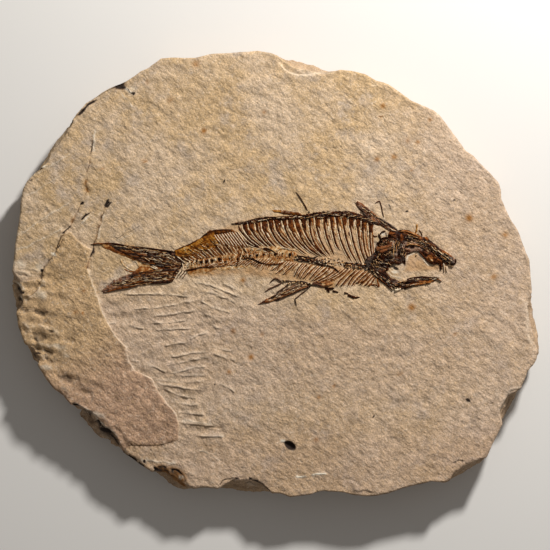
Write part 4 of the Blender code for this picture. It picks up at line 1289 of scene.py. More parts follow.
RIBS: list[Line] = paths(
    (-1124, 1180, -1025, 1053, -913, 955, -716, 815, -492, 747, -239, 646),
    (-1037, 1362, -997, 1236, -857, 1051, -688, 899, -503, 775),
    (-896, 1444, -874, 1292, -812, 1169, -728, 1051, -604, 927, -463, 826),
    (-733, 1489, -705, 1292, -604, 1124, -463, 961, -306, 831),
    (-542, 1517, -508, 1236, -407, 1067, -295, 927, -154, 798),
    (-357, 1528, -334, 1264, -261, 1096, -154, 927, -25, 798),
    (-171, 1545, -126, 1264, -42, 1096, 70, 927, 211, 787, 407, 680),
    (3, 1545, 42, 1236, 154, 1067, 295, 927, 463, 787),
    (222, 1556, 278, 1264, 379, 1039, 492, 871, 632, 730, 801, 607),
    (379, 1556, 413, 1292, 525, 1096, 660, 899, 829, 730, 1025, 596),
    (559, 1573, 632, 1236, 722, 1011, 857, 815, 1025, 646, 1211, 534),
    (744, 1573, 801, 1236, 913, 1011, 1053, 815, 1194, 674, 1317, 551),
    (969, 1601, 969, 1264, 1025, 1039, 1110, 843, 1222, 691, 1374, 551),
    (1138, 1629, 1166, 1292, 1222, 1067, 1306, 871, 1390, 702, 1486, 579),
    (1362, 1657, 1385, 1292, 1424, 1096, 1503, 871, 1604, 635),
    (1559, 1657, 1587, 1292, 1638, 1067, 1699, 843, 1772, 719),
    (1716, 1657, 1756, 1292, 1812, 1039, 1902, 787, 2008, 562, 2104, 410),
    (1896, 1657, 1924, 1292, 1980, 1039, 2065, 758, 2149, 562, 2250, 393),
    (2093, 1640, 2098, 1348, 2149, 1112, 2205, 843, 2289, 590, 2385, 365),
    (2295, 1601, 2317, 1236, 2346, 955, 2402, 674, 2503, 410),
    (2458, 1545, 2458, 1124, 2486, 815, 2542, 562, 2638, 337),
    (2643, 1472, 2654, 1180, 2654, 843, 2711, 534),
)
BACK_SPINES: list[Line] = paths(
    (211, 337, -14, 169, -110, 84), (407, 326, 154, 124, 14, 0), (576, 309, 351, 112, 211, -28),
    (772, 309, 632, 169, 520, -101), (885, 292, 688, 67, 604, -140), (1025, 281, 829, 84, 688, -157),
    (1194, 264, 969, 84, 772, -157), (1334, 242, 1138, 84, 941, -180), (1447, 208, 1222, 11, 997, -208),
    (1559, 169, 1306, -17, 1053, -208), (1699, 124, 1447, -56, 1138, -213),
    (1840, 140, 1587, -56, 1222, -236), (1961, 169, 1772, 0, 1503, -140, 1194, -253),
    (2053, 169, 1840, -28, 1587, -169, 1306, -270), (2149, 157, 1952, -39, 1784, -197, 1694, -354),
    (2281, 124, 2025, -101, 1829, -365), (2402, 124, 2149, -96, 2020, -354),
    (2525, 96, 2289, -112, 2138, -354), (2626, 73, 2402, -140, 2261, -281),
    (2699, 28, 2542, -140, 2346, -320), (2750, -28, 2626, -197, 2486, -348),
    (2806, -73, 2722, -225, 2598, -360), (2851, -96, 2862, -225, 2907, -365),
    (2654, -292, 2795, -309, 2907, -365),
)
TAIL_ROOT: Point = (-26.6, 2.36)
UPPER_RAYS: list[Line] = paths(
    (-2683, 382, -3244, 663, -4087, 792, -5070, 860), (-2654, 197, -3076, 197, -3469, 236, -3834, 326),
)
LOWER_RAYS: list[Line] = paths(
    (-2654, 197, -3104, 157, -3497, 129, -3834, 56), (-2879, -197, -3385, -258, -4087, -365, -4913, -534),
)
UPPER_LOBE: Line = path(
    -2626, 281, -2711, 478, -2812, 618, -2963, 666, -3171, 674, -3531, 730, -3961, 775, -4284, 837, -4593,
    888, -4846, 876, -4986, 826, -4817, 719, -4593, 618, -4396, 545, -4199, 466, -4059, 410, -3947, 323,
    -3862, 185, -3301, 140, -2907, 152, -2654, 169,
)
LOWER_LOBE: Line = path(
    -2626, 281, -2907, 253, -3244, 253, -3581, 239, -3834, 225, -3930, 112, -4059, 17, -4284, -56, -4537,
    -157, -4705, -281, -4829, -393, -4919, -517, -4829, -534, -4537, -433, -4199, -376, -3919, -315,
    -3511, -250, -3171, -236, -2935, -213, -2963, -124, -2879, -28, -2711, 124,
)
ANAL_FIN: Line = path(
    -2850, 660, -2570, 780, -2330, 880, -2130, 1010, -1980, 1120, -1900, 1200, -1760, 1240, -1500, 1250,
    -1230, 1260, -1190, 1200, -1390, 1120, -1590, 1070, -1560, 930, -1640, 760, -1810, 670, -1980, 620,
    -2150, 520, -2230, 440, -2460, 430, -2680, 450, -2830, 520,
)
DORSAL_BLADE: Line = path(
    -506, -854, -303, -713, 14, -562, 407, -351, 680, -225, 941, -253, 904, -376, 660, -492, 455, -573,
    70, -750, -211, -815,
)
PECTORAL_FIN: Line = path(
    2222, 1994, 2301, 2056, 2430, 2000, 2688, 1787, 2947, 1573, 3216, 1388, 3458, 1208, 3329, 1135, 3104,
    1247, 2935, 1365, 2711, 1449, 2458, 1669, 2301, 1882,
)
PELVIC_FIN: Line = path(
    -138, 1803, 14, 1798, 239, 1798, 463, 1764, 733, 1713, 772, 1629, 435, 1646, 183, 1685, -42, 1730,
)
HEAD: Line = path(
    2542, 449, 2711, 548, 2795, 629, 2784, 742, 2924, 848, 3104, 888, 3289, 904, 3374, 961, 3272, 1039,
    3149, 1067, 3177, 1191, 3334, 1219, 3441, 1219, 3553, 1247, 3730, 1242, 3907, 1157, 4087, 1062, 4188,
    1039, 4256, 1062, 4357, 949, 4626, 730, 4803, 624, 4947, 517, 5070, 382, 5076, 281, 5014, 247, 4919,
    298, 4834, 242, 4750, 270, 4705, 337, 4688, 152, 4632, 112, 4593, 270, 4447, 281, 4323, 298, 4222,
    393, 4138, 522, 4059, 607, 3947, 657, 3806, 590, 3705, 545, 3649, 449, 3649, 253, 3570, 326, 3469,
    253, 3329, 287, 3244, 242, 3188, 152, 3132, 84, 3014, 28, 2767, 56, 2542, 126, 2486, 309,
)
SKULL_ROOF: Line = path(
    2654, 264, 2823, 225, 2992, 140, 3132, 39, 3244, -84, 3357, -129, 3458, -185, 3553, -236, 3677, -197,
    3711, -112, 3907, -79, 4124, -56, 4357, -79, 4537, -124, 4452, -225, 4194, -253, 3907, -309, 3657,
    -404, 3542, -438, 3497, -382, 3329, -388, 3261, -449, 3138, -354, 2924, -191, 2761, -37, 2615, 140,
)


COLUMN_PLATE = Plate(
    COLUMN_BAND, fan=(-12.22, -21.35), streak_count=420, streak_length=3, thickness=0.12, crumple=0.16,
    crumple_size=1.1, tone=0.64, painted_sheen=0.12, cell=0.22, ragged=0.55, sunk=0.06, pale_edge=0.2,
    patches=blotches(
        (-24.58, 2.25, 1.9, 0.9, 0.84, 8), (-1.54, 6.74, 3.4, 0.9, 0.76, 2), (2.67, 5.9, 1.6, 0.9, 0.72),
        (-13.9, 3.37, 2.2, 1, 0.5),
    ),
)
UNDER_PLATE = Plate(
    UNDER_BAND, fan=(-9.97, 5.06), streak_count=200, streak_length=3, thickness=0.14, crumple=0.14,
    crumple_size=1, tone=0.5, painted_sheen=0, cell=0.22, edge=0.5, ragged=0.7, sunk=0.12, pale_edge=0.34,
    patches=blotches(
        (-20.37, 0.84, 1.6, 0.7, 0.6, 6), (-23.17, 1.4, 1.6, 0.5, 0.16, 8), (-11.1, 1.97, 5, 0.8, 0.7, 6),
    ),
)
# Rows of strokes: line in hundredths, width, tone and, where it has its own, share of painted glint
COLUMN_STROKES: Rows = (
    ((-997, 438, -829, 449, -660, 421, -492, 348, -323, 281), 0.6, 0),
    ((-379, 320, -211, 264, 14, 270, 239, 320), 0.36, 0.2),
    ((-351, 730, -183, 702, -53, 635, -3, 590), 0.5, 0.04),
    ((14, 618, 98, 702, 239, 742, 435, 674), 0.3, 0.9),
    ((-351, 685, -492, 713, -576, 646, -632, 562), 0.3, 0.86),
    ((1390, 253, 1615, 197, 1756, 84, 1812, 17), 0.4, 0.08),
    ((604, 522, 801, 478, 1025, 438, 1194, 506), 0.4, 0.04),
    ((576, 393, 913, 365, 1138, 298, 1419, 225), 0.5, 0.05),
    ((-2570, 84, -2374, 129, -2149, 180, -1952, 208, -1728, 169), 0.4, 0.16),
    ((-2823, 478, -2711, 393, -2570, 270), 0.36, 0), ((-2767, 494, -2654, 410, -2531, 309), 0.24, 1),
    ((-2683, 483, -2570, 410, -2430, 337), 0.34, 0.08), ((-2638, 337, -2587, 225, -2626, 84), 0.4, 0.94),
    ((-941, 674, -997, 506, -1070, 337, -1110, 169), 0.3, 0.24),
    ((1924, 320, 2205, 281, 2542, 253), 0.4, 0.08),
)
UPPER_LOBE_PLATE = Plate(
    UPPER_LOBE, fan=TAIL_ROOT, streak_count=150, streak_length=6, thickness=0.16, crumple_size=1.3,
    tone=0.15, tone_drift=0.8, painted_sheen=0.25, ragged=0.5, sunk=0.07, pale_edge=0.15,
    patches=blotches(
        (-31.88, 3.09, 4.6, 0.9, 0.44, -10), (-47.33, 7.47, 2.6, 0.9, 0.5, -18),
        (-42.28, 5.06, 3.6, 0.7, 0.5, -22), (-37.22, 2.81, 2.6, 1.3, 0.62, -14),
        (-38.62, 6.57, 6, 1, 0.03, -8, 0.2), (-29.07, 4.21, 2.2, 1.2, 0, -30),
        (-39.19, 2.81, 1.5, 1.2, 0.8),
    ),
)
LOWER_LOBE_PLATE = Plate(
    LOWER_LOBE, fan=TAIL_ROOT, streak_count=150, streak_length=6, thickness=0.16, crumple_size=1.3,
    tone=0.24, tone_drift=0.8, painted_sheen=0.25, ragged=0.5, sunk=0.05,
    patches=blotches(
        (-45.37, -2.98, 4.4, 1.3, 0.42, 24, 0.5), (-36.94, 1.4, 3.6, 0.9, 0.52, 4),
        (-39.19, -1.12, 0.9, 0.5, 0.66, 0, 1), (-31.88, -0.45, 3.4, 1.2, 0.04, 4),
        (-31.6, -1.12, 0.7, 0.3, 0.7, 0, 1), (-35.81, -2.25, 5, 0.4, 0.46, 6),
    ),
)
TAIL_STROKES: Rows = (
    ((-2795, 618, -3244, 674, -3581, 716, -4143, 787, -4424, 843, -4705, 885), 0.5, 0.02),
    ((-4593, 871, -4846, 860, -5183, 843), 0.36, 0.3),
    ((-2767, 449, -2643, 320, -2643, 197, -2795, 84, -2919, -56), 0.66, 0.02),
    ((-2907, -225, -3244, -253, -3525, -258, -3806, -309), 0.44, 0.04),
    ((-3806, -309, -4228, -393, -4508, -433, -4846, -534), 0.4, 0.3), ((-3469, 242, -3301, 152), 0.3, 1),
    ((-3525, 213, -3329, 129), 0.4, 1), ((-3441, 449, -3244, 337), 0.24, 1),
    ((-3104, 506, -2907, 421, -2739, 309), 0.26, 0.95), ((-3020, 562, -2795, 410), 0.24, 0.9),
    ((-3048, 461, -2879, 376, -2767, 309), 0.3, 0), ((-2963, 545, -2767, 433), 0.3, 0),
)
# Rows of splinters: start, end, count, width of the band, heading in degrees
TAIL_SPLINTERS: Rows = (
    ((-43.12, 7.58), (-29.07, 4.78), 46, 1.8, -10), ((-38.06, 5.06), (-27.39, 2.81), 30, 1.8, -18),
    ((-45.93, -3.09), (-38.06, -1.4), 26, 1.4, 18), ((-38.06, -1.4), (-29.63, -0.56), 30, 2, 6),
)
ANAL_PLATE = Plate(
    ANAL_FIN, fan=(-6.6, -3.93), streak_count=190, streak_length=3, thickness=0.14, crumple=0.1,
    crumple_size=1, tone=0.5, painted_sheen=0, cell=0.2, ragged=0.5,
    patches=blotches(
        (-15.59, 11.91, 3.8, 0.7, 0.2), (-19.8, 10.56, 1.6, 0.9, 0.3, 34), (-24.58, 4.78, 3.4, 0.6, 0.3),
        (-25.14, 7.19, 0.8, 0.5, 0.8), (-19.24, 8.71, 1.6, 1, 0.4), (-23.17, 7.3, 1.6, 0.7, 0.34, 20),
        (-21.49, 9.27, 1.2, 0.6, 0.62, 30), (-26.83, 5.9, 1.4, 1, 0.44),
    ),
)
DORSAL_PLATE = Plate(
    DORSAL_BLADE, fan=(11.94, -1.69), streak_count=260, thickness=0.2, crumple_size=1.2, tone=0.3,
    tone_drift=0.7, painted_sheen=0.4, ragged=0.2,
)
PECTORAL_PLATE = Plate(
    PECTORAL_FIN, fan=(43.4, 3.37), streak_count=330, thickness=0.26, crumple_size=1.2, tone=0.36,
    tone_drift=0.7, painted_sheen=0.6, ragged=0.15,
)
PELVIC_PLATE = Plate(
    PELVIC_FIN, fan=(8.57, 16.85), streak_count=200, streak_length=4, thickness=0.16, crumple=0.06,
    crumple_size=1, tone=0.26, painted_sheen=0.5, ragged=0.2,
    patches=blotches(
        (0.14, 17.7, 1.6, 0.4, 0.6, -8), (5.76, 16.97, 2, 0.6, 0.26, -8),
    ),
)
DORSAL_STROKES: Rows = (
    ((163, -242, 34, -107, -70, -154, -160, -244), 0.36, 0.2),
    ((183, -253, -42, -354, -301, -486), 0.38, 0.22), ((421, -242, 239, -382, 31, -517), 0.38, 0.2),
    ((632, -281, 239, -478, -211, -691), 0.36, 0.16),
    ((801, -309, 351, -534, -98, -747, -492, -843), 0.36, 0.3),
    ((969, -337, 576, -506, 14, -758), 0.34, 0.08), ((857, -281, 435, -449, -154, -730), 0.3, 0.06),
    ((772, -253, 407, -404, -98, -646), 0.24, 0.9), ((913, -337, 520, -506, -267, -826), 0.26, 0.5),
    ((1025, -315, 801, -492, 584, -674, 537, -713, 604, -888), 0.3, 0.14),
    ((112, -208, 351, -197, 576, -211, 801, -242, 1053, -281), 0.42, 0.1),
    ((688, -197, 913, -270, 1110, -298, 1362, -365), 0.6, 0.06),
    ((1278, -298, 1447, -303, 1615, -264), 1, 0.64), ((1250, -236, 1419, -242, 1559, -213), 0.5, 0.56),
    ((1053, -242, 1222, -292, 1390, -365), 0.7, 0.3), ((1138, -213, 1250, -253), 0.4, 0.42),
)
PECTORAL_STROKES: Rows = (
    ((2430, 1770, 2542, 1629, 2711, 1478, 3048, 1404), 0.46, 0.04),
    ((2935, 1545, 3104, 1449, 3272, 1337, 3452, 1197), 0.56, 0.02),
    ((2261, 2006, 2542, 1854, 2851, 1612), 0.36, 0.16),
    ((2250, 1955, 2486, 1758, 2823, 1506, 3160, 1264), 0.36, 0.2),
    ((2346, 1994, 2626, 1781, 2963, 1517), 0.26, 0.42), ((2992, 1433, 3188, 1292, 3385, 1169), 0.5, 0.24),
)
HEAD_PLATE = Plate(
    HEAD, fan=(54.63, -0.28), streak_count=130, streak_length=3, thickness=0.4, crumple=0.22,
    crumple_size=1.3, tone=0.13, tone_drift=0.7, painted_sheen=0.14, cell=0.22, edge=0.25, ragged=0.12,
    patches=blotches(
        (30.48, 7.7, 2.5, 1, 0.3, -4), (30.48, 7.19, 1.2, 0.45, 0.56, 8, 0, 0.08),
        (29.69, 7.02, 0.4, 0.25, 1, 30, 1), (36.94, 11.69, 3, 0.5, 0.4, -16),
        (35.42, 10.22, 0.5, 1, 0.52), (38.62, 7.87, 2.9, 1.3, 0.42, -10, 0.7),
        (38.34, 7.58, 0.8, 0.5, 0.02), (36.66, 7.7, 0.7, 0.4, 0.04), (32.95, 5.9, 0.35, 2.3, 0.5, 0, 0.8),
        (35.81, 7.58, 0.3, 1, 0.6, 0, 1), (33.96, 6.46, 0.3, 1.6, 0.5, 0, 0.8),
        (43.68, 4.78, 0.8, 0.9, 0.6, 0, 0, 0.1), (47.89, 6.01, 2.1, 0.4, 0.46, -36),
        (29.92, 4.61, 2.5, 1.5, 0.04, 0, 0, -0.1), (42.44, 10.11, 0.7, 0.45, 0.5, -30),
        (32.44, 11.35, 1.1, 0.5, 0.36), (28.23, 3.09, 3.6, 2.4, 0.03, 0, 0.2),
        (49.02, 3.93, 1.4, 0.9, 0.14, -30, 0.6), (31.88, 1.69, 1.4, 1, 0.04),
        (45.08, 4.21, 2.4, 1, 0.16, -40), (29.83, 4.1, 2.6, 2.1, 0), (33.17, 6.6, 0.5, 2.6, 0.3, 0, 1),
        (43.2, 4.1, 1.1, 1.2, 0.6, -30),
    ),
)
ROOF_PLATE = Plate(
    SKULL_ROOF, fan=(23.74, 3.37), streak_count=120, streak_length=4, thickness=0.36, crumple=0.2,
    crumple_size=1.2, tone=0.09, painted_sheen=0.12, cell=0.22, edge=0.25, ragged=0.12,
    patches=blotches(
        (41.71, -2.53, 3.4, 0.6, 0.6, 9), (38.34, -3.26, 2, 0.6, 0.5, 9),
        (29.92, -0.84, 1.8, 0.3, 0.36, -38), (33.85, -2.53, 0.8, 0.8, 0.22, 0, 0.3),
    ),
)
JAW_STROKES: Rows = (
    ((3469, 1180, 3610, 1197, 3806, 1152, 4087, 1022), 0.9, 0.5),
    ((3441, 1219, 3610, 1247, 3806, 1208), 0.24, 0.06),
    ((3638, 1067, 3806, 1062, 4003, 972, 4171, 888), 0.6, 0.02),
    ((4171, 899, 4396, 719, 4593, 534, 4694, 337), 0.6, 0.03),
    ((4312, 927, 4565, 702, 4817, 506, 4958, 365), 0.5, 0.05), ((4284, 860, 4452, 730), 0.26, 1, 1),
    ((4424, 685, 4621, 534, 4750, 365), 0.24, 0.95, 1), ((4649, 618, 4846, 449), 0.22, 0.6, 1),
    ((4003, 663, 4143, 534, 4239, 393, 4368, 292, 4537, 292), 0.6, 0.2),
    ((4424, 326, 4593, 309), 0.6, 0.04), ((4621, 337, 4643, 225, 4654, 112), 0.6, 0.02),
    ((4716, 309, 4728, 169, 4744, 56), 0.3, 1, 0.8), ((4789, 225, 4817, 56), 0.2, 0.9, 0.4),
    ((3160, 1096, 3329, 1112, 3497, 1096), 0.5, 0.1),
    ((3413, 955, 3581, 871, 3610, 618, 3638, 253), 0.5, 0.05),
    ((3244, 337, 3413, 449, 3553, 309), 0.6, 0.04, 0.2), ((3340, 843, 3340, 562, 3357, 337), 0.4, 0.05),
    ((2823, 618, 3020, 573, 3244, 618), 0.5, 0.06), ((2823, 798, 3020, 860, 3244, 871), 0.5, 0.16),
    ((2851, 815, 2834, 674, 2907, 618), 0.4, 0.3, 0.6),
    ((3610, 579, 3806, 618, 3947, 680, 4059, 629), 0.4, 0.2, 0.3),
    ((5053, 421, 5070, 309, 4958, 264), 0.5, 0.04),
)
# Rows of crumbs: start, end, count, width of the band, range of tones
HEAD_CRUMBS: Rows = (
    ((27.67, 3.37), (32.16, 3.65), 46, 4.2, (0, 0.3)), ((28.23, 5.34), (32.72, 4.78), 34, 2.6, (0, 0.4)),
    ((28.79, 1.69), (32.16, 2.81), 26, 2.6, (0, 0.5)), ((33.57, 5.62), (36.1, 4.49), 22, 4, (0, 0.45)),
    ((26.83, 3.37), (32.44, 3.37), 12, 4.6, (0.8, 1)), ((33.01, 7.87), (36.1, 6.74), 10, 3, (0.8, 1)),
    ((28.79, 8.71), (33.85, 9.55), 26, 1, (0.05, 0.6)),
    ((36.1, 11.8), (41.71, 9.55), 26, 1.6, (0.1, 0.5)), ((33.85, 8.99), (38.9, 7.3), 34, 4, (0, 0.4)),
    ((40.59, 7.87), (46.21, 3.93), 30, 2.6, (0, 0.35)), ((33.85, 8.43), (47.89, 5.06), 16, 3.4, (0.8, 1)),
)
HEAD_SPLINTERS: Rows = (
    ((27.39, 2.81), (32.72, 4.49), 26, 4.4, -30), ((28.23, 5.06), (33.29, 5.62), 12, 2, 80),
    ((33.57, 8.71), (36.38, 4.49), 30, 3.4, 80), ((36.38, 10.11), (41.71, 8.43), 34, 2.6, -20),
    ((41.15, 8.71), (49.02, 3.65), 44, 2.6, -42), ((28.79, 8.43), (32.72, 6.74), 20, 1.6, 10),
)
# Strokes on the head, painted pale and grey as glints of the light
HEAD_GLINTS: Rows = (
    ((2834, 646, 2935, 713, 3104, 764, 3272, 803), 1.2, 0.38),
    ((2907, 607, 3048, 657, 3216, 708), 0.9, 0.36), ((2935, 708, 3076, 758), 0.5, 0.7),
    ((3312, 871, 3323, 674, 3306, 449), 0.36, 0.74), ((3385, 787, 3396, 618), 0.3, 0.7),
    ((3497, 1191, 3666, 1208, 3862, 1140, 4059, 1039), 0.6, 0.5),
    ((4284, 489, 4357, 404, 4424, 337), 0.7, 0.6), ((3638, 787, 3834, 854, 4059, 787), 0.4, 0.6),
    ((4537, 674, 4733, 517, 4874, 421), 0.24, 0.95), ((4368, 770, 4537, 618), 0.22, 0.95),
)
ROOF_STROKES: Rows = (
    ((2711, 169, 2992, -84, 3301, -393), 0.7, 0.03), ((3048, 11, 3188, -129, 3357, -208), 0.36, 0.06),
    ((3104, 39, 3244, -112, 3385, -157), 0.24, 0.7, 0.4), ((2739, 39, 2963, -169, 3216, -365), 0.3, 0.34),
    ((3694, -152, 3890, -107, 4199, -79, 4508, -129), 0.56, 0.02),
    ((4452, -129, 4565, -140, 4666, -213), 0.24, 0.5), ((3525, -270, 3694, -213, 3890, -208), 1, 0.02),
    ((3610, -421, 3834, -337, 4087, -281), 0.36, 0.06),
    ((3638, -365, 3834, -298, 4059, -264), 0.3, 0.8, 0.8), ((4199, -225, 4256, -281), 0.5, 0.04),
    ((3340, -449, 3441, -444, 3525, -410), 0.8, 1.08), ((3862, -320, 4115, -270, 4396, -225), 0.7, 0.56),
)
ROOF_SPLINTERS: Rows = (
    ((27.11, 1.12), (33.29, -3.65), 34, 1.8, -42), ((33.29, -2.81), (37.22, -2.81), 16, 1.6, 20),
    ((37.22, -1.69), (45.08, -1.29), 16, 0.7, 6),
)


def shifted(line: Line, x: float, y: float) -> list[Point]:
    """The line, moved sideways."""
    return [(a + x, b + y) for a, b in line]


def between(a: Line, b: Line, share: float) -> list[Point]:
    """The line at this share of the way from line a to line b."""
    return [(x0 + (x1 - x0) * share, y0 + (y1 - y0) * share) for (x0, y0), (x1, y1) in zip(a, b)]


@dataclass
class Fish:
    """The fish's bones, laid on the split face."""

    face: SplitFace
    materials: dict[str, bpy.types.Material]
    scutes: int = 46
    vertebrae: int = 18
    pitch: float = 1.78
    rear_spines: int = 19
    first_spine: float = -24.6
    fin_supports: int = 10
    lobe_rays: int = 23
    flecks: int = 90

    def piece(self, node: str, slot: str = "dark_bone") -> BonePiece:
        """A new, empty bone."""
        return BonePiece(self.face, node, slot)

    def chance(self, number: float, row: float = 0.0) -> float:
        """A repeatable random number from 0 to 1."""
        value = 0.5 + 0.85 * noise.noise(Vector((number * 3.71 + 0.31, row * 2.37 + 0.17, SEED)))
        return min(1.0, max(0.0, value))

    def build(self) -> None:
        """Lay every bone."""
        self.build_column()
        self.build_ribs()
        self.build_tail()
        self.build_fins()
        self.build_head()
        self.build_loose_bones()

    def build_ribs(self) -> None:
        """The black scutes along the belly's edge, with their ribs."""
        piece = self.piece("belly_ribs")
        self.add_scutes(piece)
        for number, rib in enumerate(RIBS):
            self.add_rib(piece, number, rib)
        self.add_flecks(piece)
        piece.finish(self.materials)

    def add_scutes(self, piece: BonePiece) -> None:
        """The row of scutes, the band that joins them and the crumbs on it."""
        first, last = SCUTE_ROW[0][0], SCUTE_ROW[-1][0]
        for number in range(self.scutes):
            share = number / (self.scutes - 1)
            x = first + (last - first) * share
            y, wide = along_line(SCUTE_ROW, x), along_line(SCUTE_WIDTHS, x)
            slope = along_line(SCUTE_ROW, x + 0.5) - along_line(SCUTE_ROW, x - 0.5)
            drift = (self.chance(number) - 0.5) * 0.45
            line = [
                (x - 1.0, y + 0.3 * wide - slope + drift), (x - 0.1, y + 0.05 + drift),
                (x + 0.9, y + 0.9 * slope),
            ]
            tone = 0.02 + 0.2 * self.chance(number, 2.0)
            piece.bar(Bar(line, (0.24, 0.62 * wide**0.5), tone, 0.3, waver=0.04))
            line = [(x - 0.7, y - 0.1 * wide), (x + 0.9, y - 0.42 * wide + 0.9 * slope + 0.4 * drift)]
            tone = 0.02 + 0.7 * self.chance(number, 3.0) ** 3
            piece.bar(Bar(line, (0.5 * wide**0.5, 0.4), tone, 0.26, 0.8 * self.chance(number, 4.0) ** 2))
        for steps in range(24):
            a, b = (first + (last - first) * (steps + more) / 24.0 for more in (0.0, 1.1))
            line = [(x, along_line(SCUTE_ROW, x) - 0.42 * along_line(SCUTE_WIDTHS, x)) for x in (a, b)]
            wide = 1.0 * along_line(SCUTE_WIDTHS, a) ** 0.5
            piece.bar(Bar(line, (wide, wide), 0.03 + 0.1 * self.chance(steps, 91.0), 0.24, waver=0.08))
        for number, (start, end, count, wide) in enumerate(SCUTE_CRUMBS):
            self.scatter(piece, (start, end), count, wide, 300.0 + 14.0 * number, (-0.05, 0.4))
            self.scatter(piece, (start, end), count, wide, 307.0 + 14.0 * number, (-0.05, 0.2))
            self.scatter(piece, (start, end), count // 4, wide, 310.0 + 14.0 * number, (0.7, 1.0), 0.36, 10.0)

    def add_rib(self, piece: BonePiece, number: int, rib: Line) -> None:
        """One rib: its rusty top, its shaft, the pale bars painted beside it as highlights, and its twin."""
        share = number / (len(RIBS) - 1)
        whole = rounded_line(rib)
        neck_end = rib[0][1] - (3.2 + 1.2 * self.chance(number, 19.0) if number > 1 else 1.0)
        neck = [tuple(p) for p in whole if p[1] > neck_end]
        if number > 1:
            rusty = 0.18 + 0.38 * self.chance(number, 6.0)
            gap = 0.5 + 0.3 * self.chance(number, 16.0)
            piece.bar(Bar([(x + gap, y) for x, y in neck], (1.0, 0.4), rusty, 0.14, waver=0.16))
            piece.bar(Bar(neck, (0.9, 0.55), 0.14 + 0.12 * self.chance(number, 7.0), 0.26, waver=0.08))
            # a pale bar painted beside the neck as a highlight
            glint = shifted(neck[:-1], -0.62, -0.3)
            piece.bar(Bar(glint, (0.2, 0.3), 0.94, 0.2, waver=0.06))
        (x0, y0), (x1, y1) = rib[-2], rib[-1]
        rib = [*rib[:-1], (x1 + 0.45 * (x1 - x0), y1 + 0.45 * (y1 - y0))]
        piece.bar(Bar(rib, (0.5, 0.42), 0.18 + 0.06 * share, 0.28, waver=0.06))
        # a pale bar painted along the rib's lower left as a highlight
        lit = shifted(rib[1:], -0.42, -0.18)
        if len(lit) > 1:
            piece.bar(Bar(lit, (0.26, 0.16), 0.96, 0.2, waver=0.05))
        beside = 0.86 - 0.1 * share
        twin = [(x + beside, y + 0.3) for x, y in rib[1:-1]] + [(rib[-1][0] + 0.3, rib[-1][1] + 0.9)]
        if len(twin) > 1 and 1 < number and (number < 11 or self.chance(number, 21.0) > 0.55):
            piece.bar(Bar(twin, (0.4, 0.2), 0.44 + 0.16 * self.chance(number, 5.0), 0.16, waver=0.07))

    def add_flecks(self, piece: BonePiece) -> None:
        """The short coloured scraps between the ribs."""
        for number in range(self.flecks):
            place = 2 + (5 * number) % (len(RIBS) - 3)
            run = between(RIBS[place], RIBS[place + 1], 0.15 + 0.7 * self.chance(number, 82.0))
            start = self.chance(number, 83.0) ** 1.5 * 0.6 * (len(run) - 1)
            stop = start + 0.35 + 0.6 * self.chance(number, 84.0)
            line = [self.part_way(run, start + (stop - start) * part / 2.0) for part in range(3)]
            tone = (0.24, 0.6, 0.74, 0.84, 0.94)[number % 5] + 0.1 * self.chance(number, 85.0)
            wide = 0.3 + 0.4 * self.chance(number, 86.0)
            painted_sheen = 0.6 * self.chance(number, 87.0) ** 3
            piece.bar(Bar(line, (wide, 0.5 * wide), tone, 0.12, painted_sheen, waver=0.1))

    @staticmethod
    def part_way(line: Line, place: float) -> Point:
        """The point on a line at this many of its points along."""
        at = min(max(place, 0.0), len(line) - 1.001)
        (x0, y0), (x1, y1) = line[int(at)], line[int(at) + 1]
        return (x0 + (x1 - x0) * (at % 1.0), y0 + (y1 - y0) * (at % 1.0))

    def scatter(self, piece: BonePiece, ends: tuple[Point, Point], count: int, wide: float, row: float,
                tones: Point = (0.0, 0.34), height: float = 0.34, heading: float | None = None) -> None:
        """Strew small crushed fragments along a band between two points; with a heading, fine splinters."""
        (x0, y0), (x1, y1) = ends
        for number in range(count):
            share = (number + self.chance(number, row)) / count
            x = x0 + (x1 - x0) * share
            y = y0 + (y1 - y0) * share + wide * (self.chance(number, row + 1.0) - 0.5)
            turn = math.tau * self.chance(number, row + 2.0)
            size = 0.35 + 0.4 * self.chance(number, row + 3.0)
            stout, lift = 1.0, 0.0
            if heading is not None:
                turn = math.radians(heading) + 0.12 * (turn - math.pi)
                size, stout, lift = 2.4 * size, 0.5, 0.6 * height
            line = [(x, y), (x + size * math.cos(turn), y + 0.7 * size * math.sin(turn))]
            tone = tones[0] + (tones[1] - tones[0]) * self.chance(number, row + 4.0) ** 1.4
            # a few fragments get painted glints
            painted_sheen = 0.9 * self.chance(number, row + 5.0) ** 4
            rise = height - 0.6 * lift + 0.2 * self.chance(number, row + 6.0)
            piece.bar(Bar(line, (0.44 * stout, 0.36 * stout), tone, rise, painted_sheen, lift, 0.03))

    def splinters(self, piece: BonePiece, bands: Rows, row: float, pale: Mix, dark: Mix) -> None:
        """Strew pale and dark splinters along each band.

        Args:
            piece: the bone that they are part of.
            bands: each band's start, end, count, width and heading.
            row: the first row of chance to draw from.
            pale, dark: the range of tones, the height and the share of the count.
        """
        for number, (start, end, count, wide, heading) in enumerate(bands):
            for (tones, height, share), first in ((pale, row), (dark, row + 9.0)):
                drawn = first + 18.0 * number
                self.scatter(piece, (start, end), int(share * count), wide, drawn, tones, height, heading)

    @staticmethod
    def strokes(piece: BonePiece, rows: Rows, taper: float, height: float, painted_sheen: float = 0.0,
                lift: float = 0.0, waver: float = 0.05) -> None:
        """Lay a slender bone for each row: its line, width, tone and, if it has its own, its share of painted
        glint.
        """
        for line, wide, tone, *own in rows:
            shine = own[0] if own else painted_sheen
            piece.bar(Bar(path(*line), (wide, taper * wide), tone, height, shine, lift, waver))

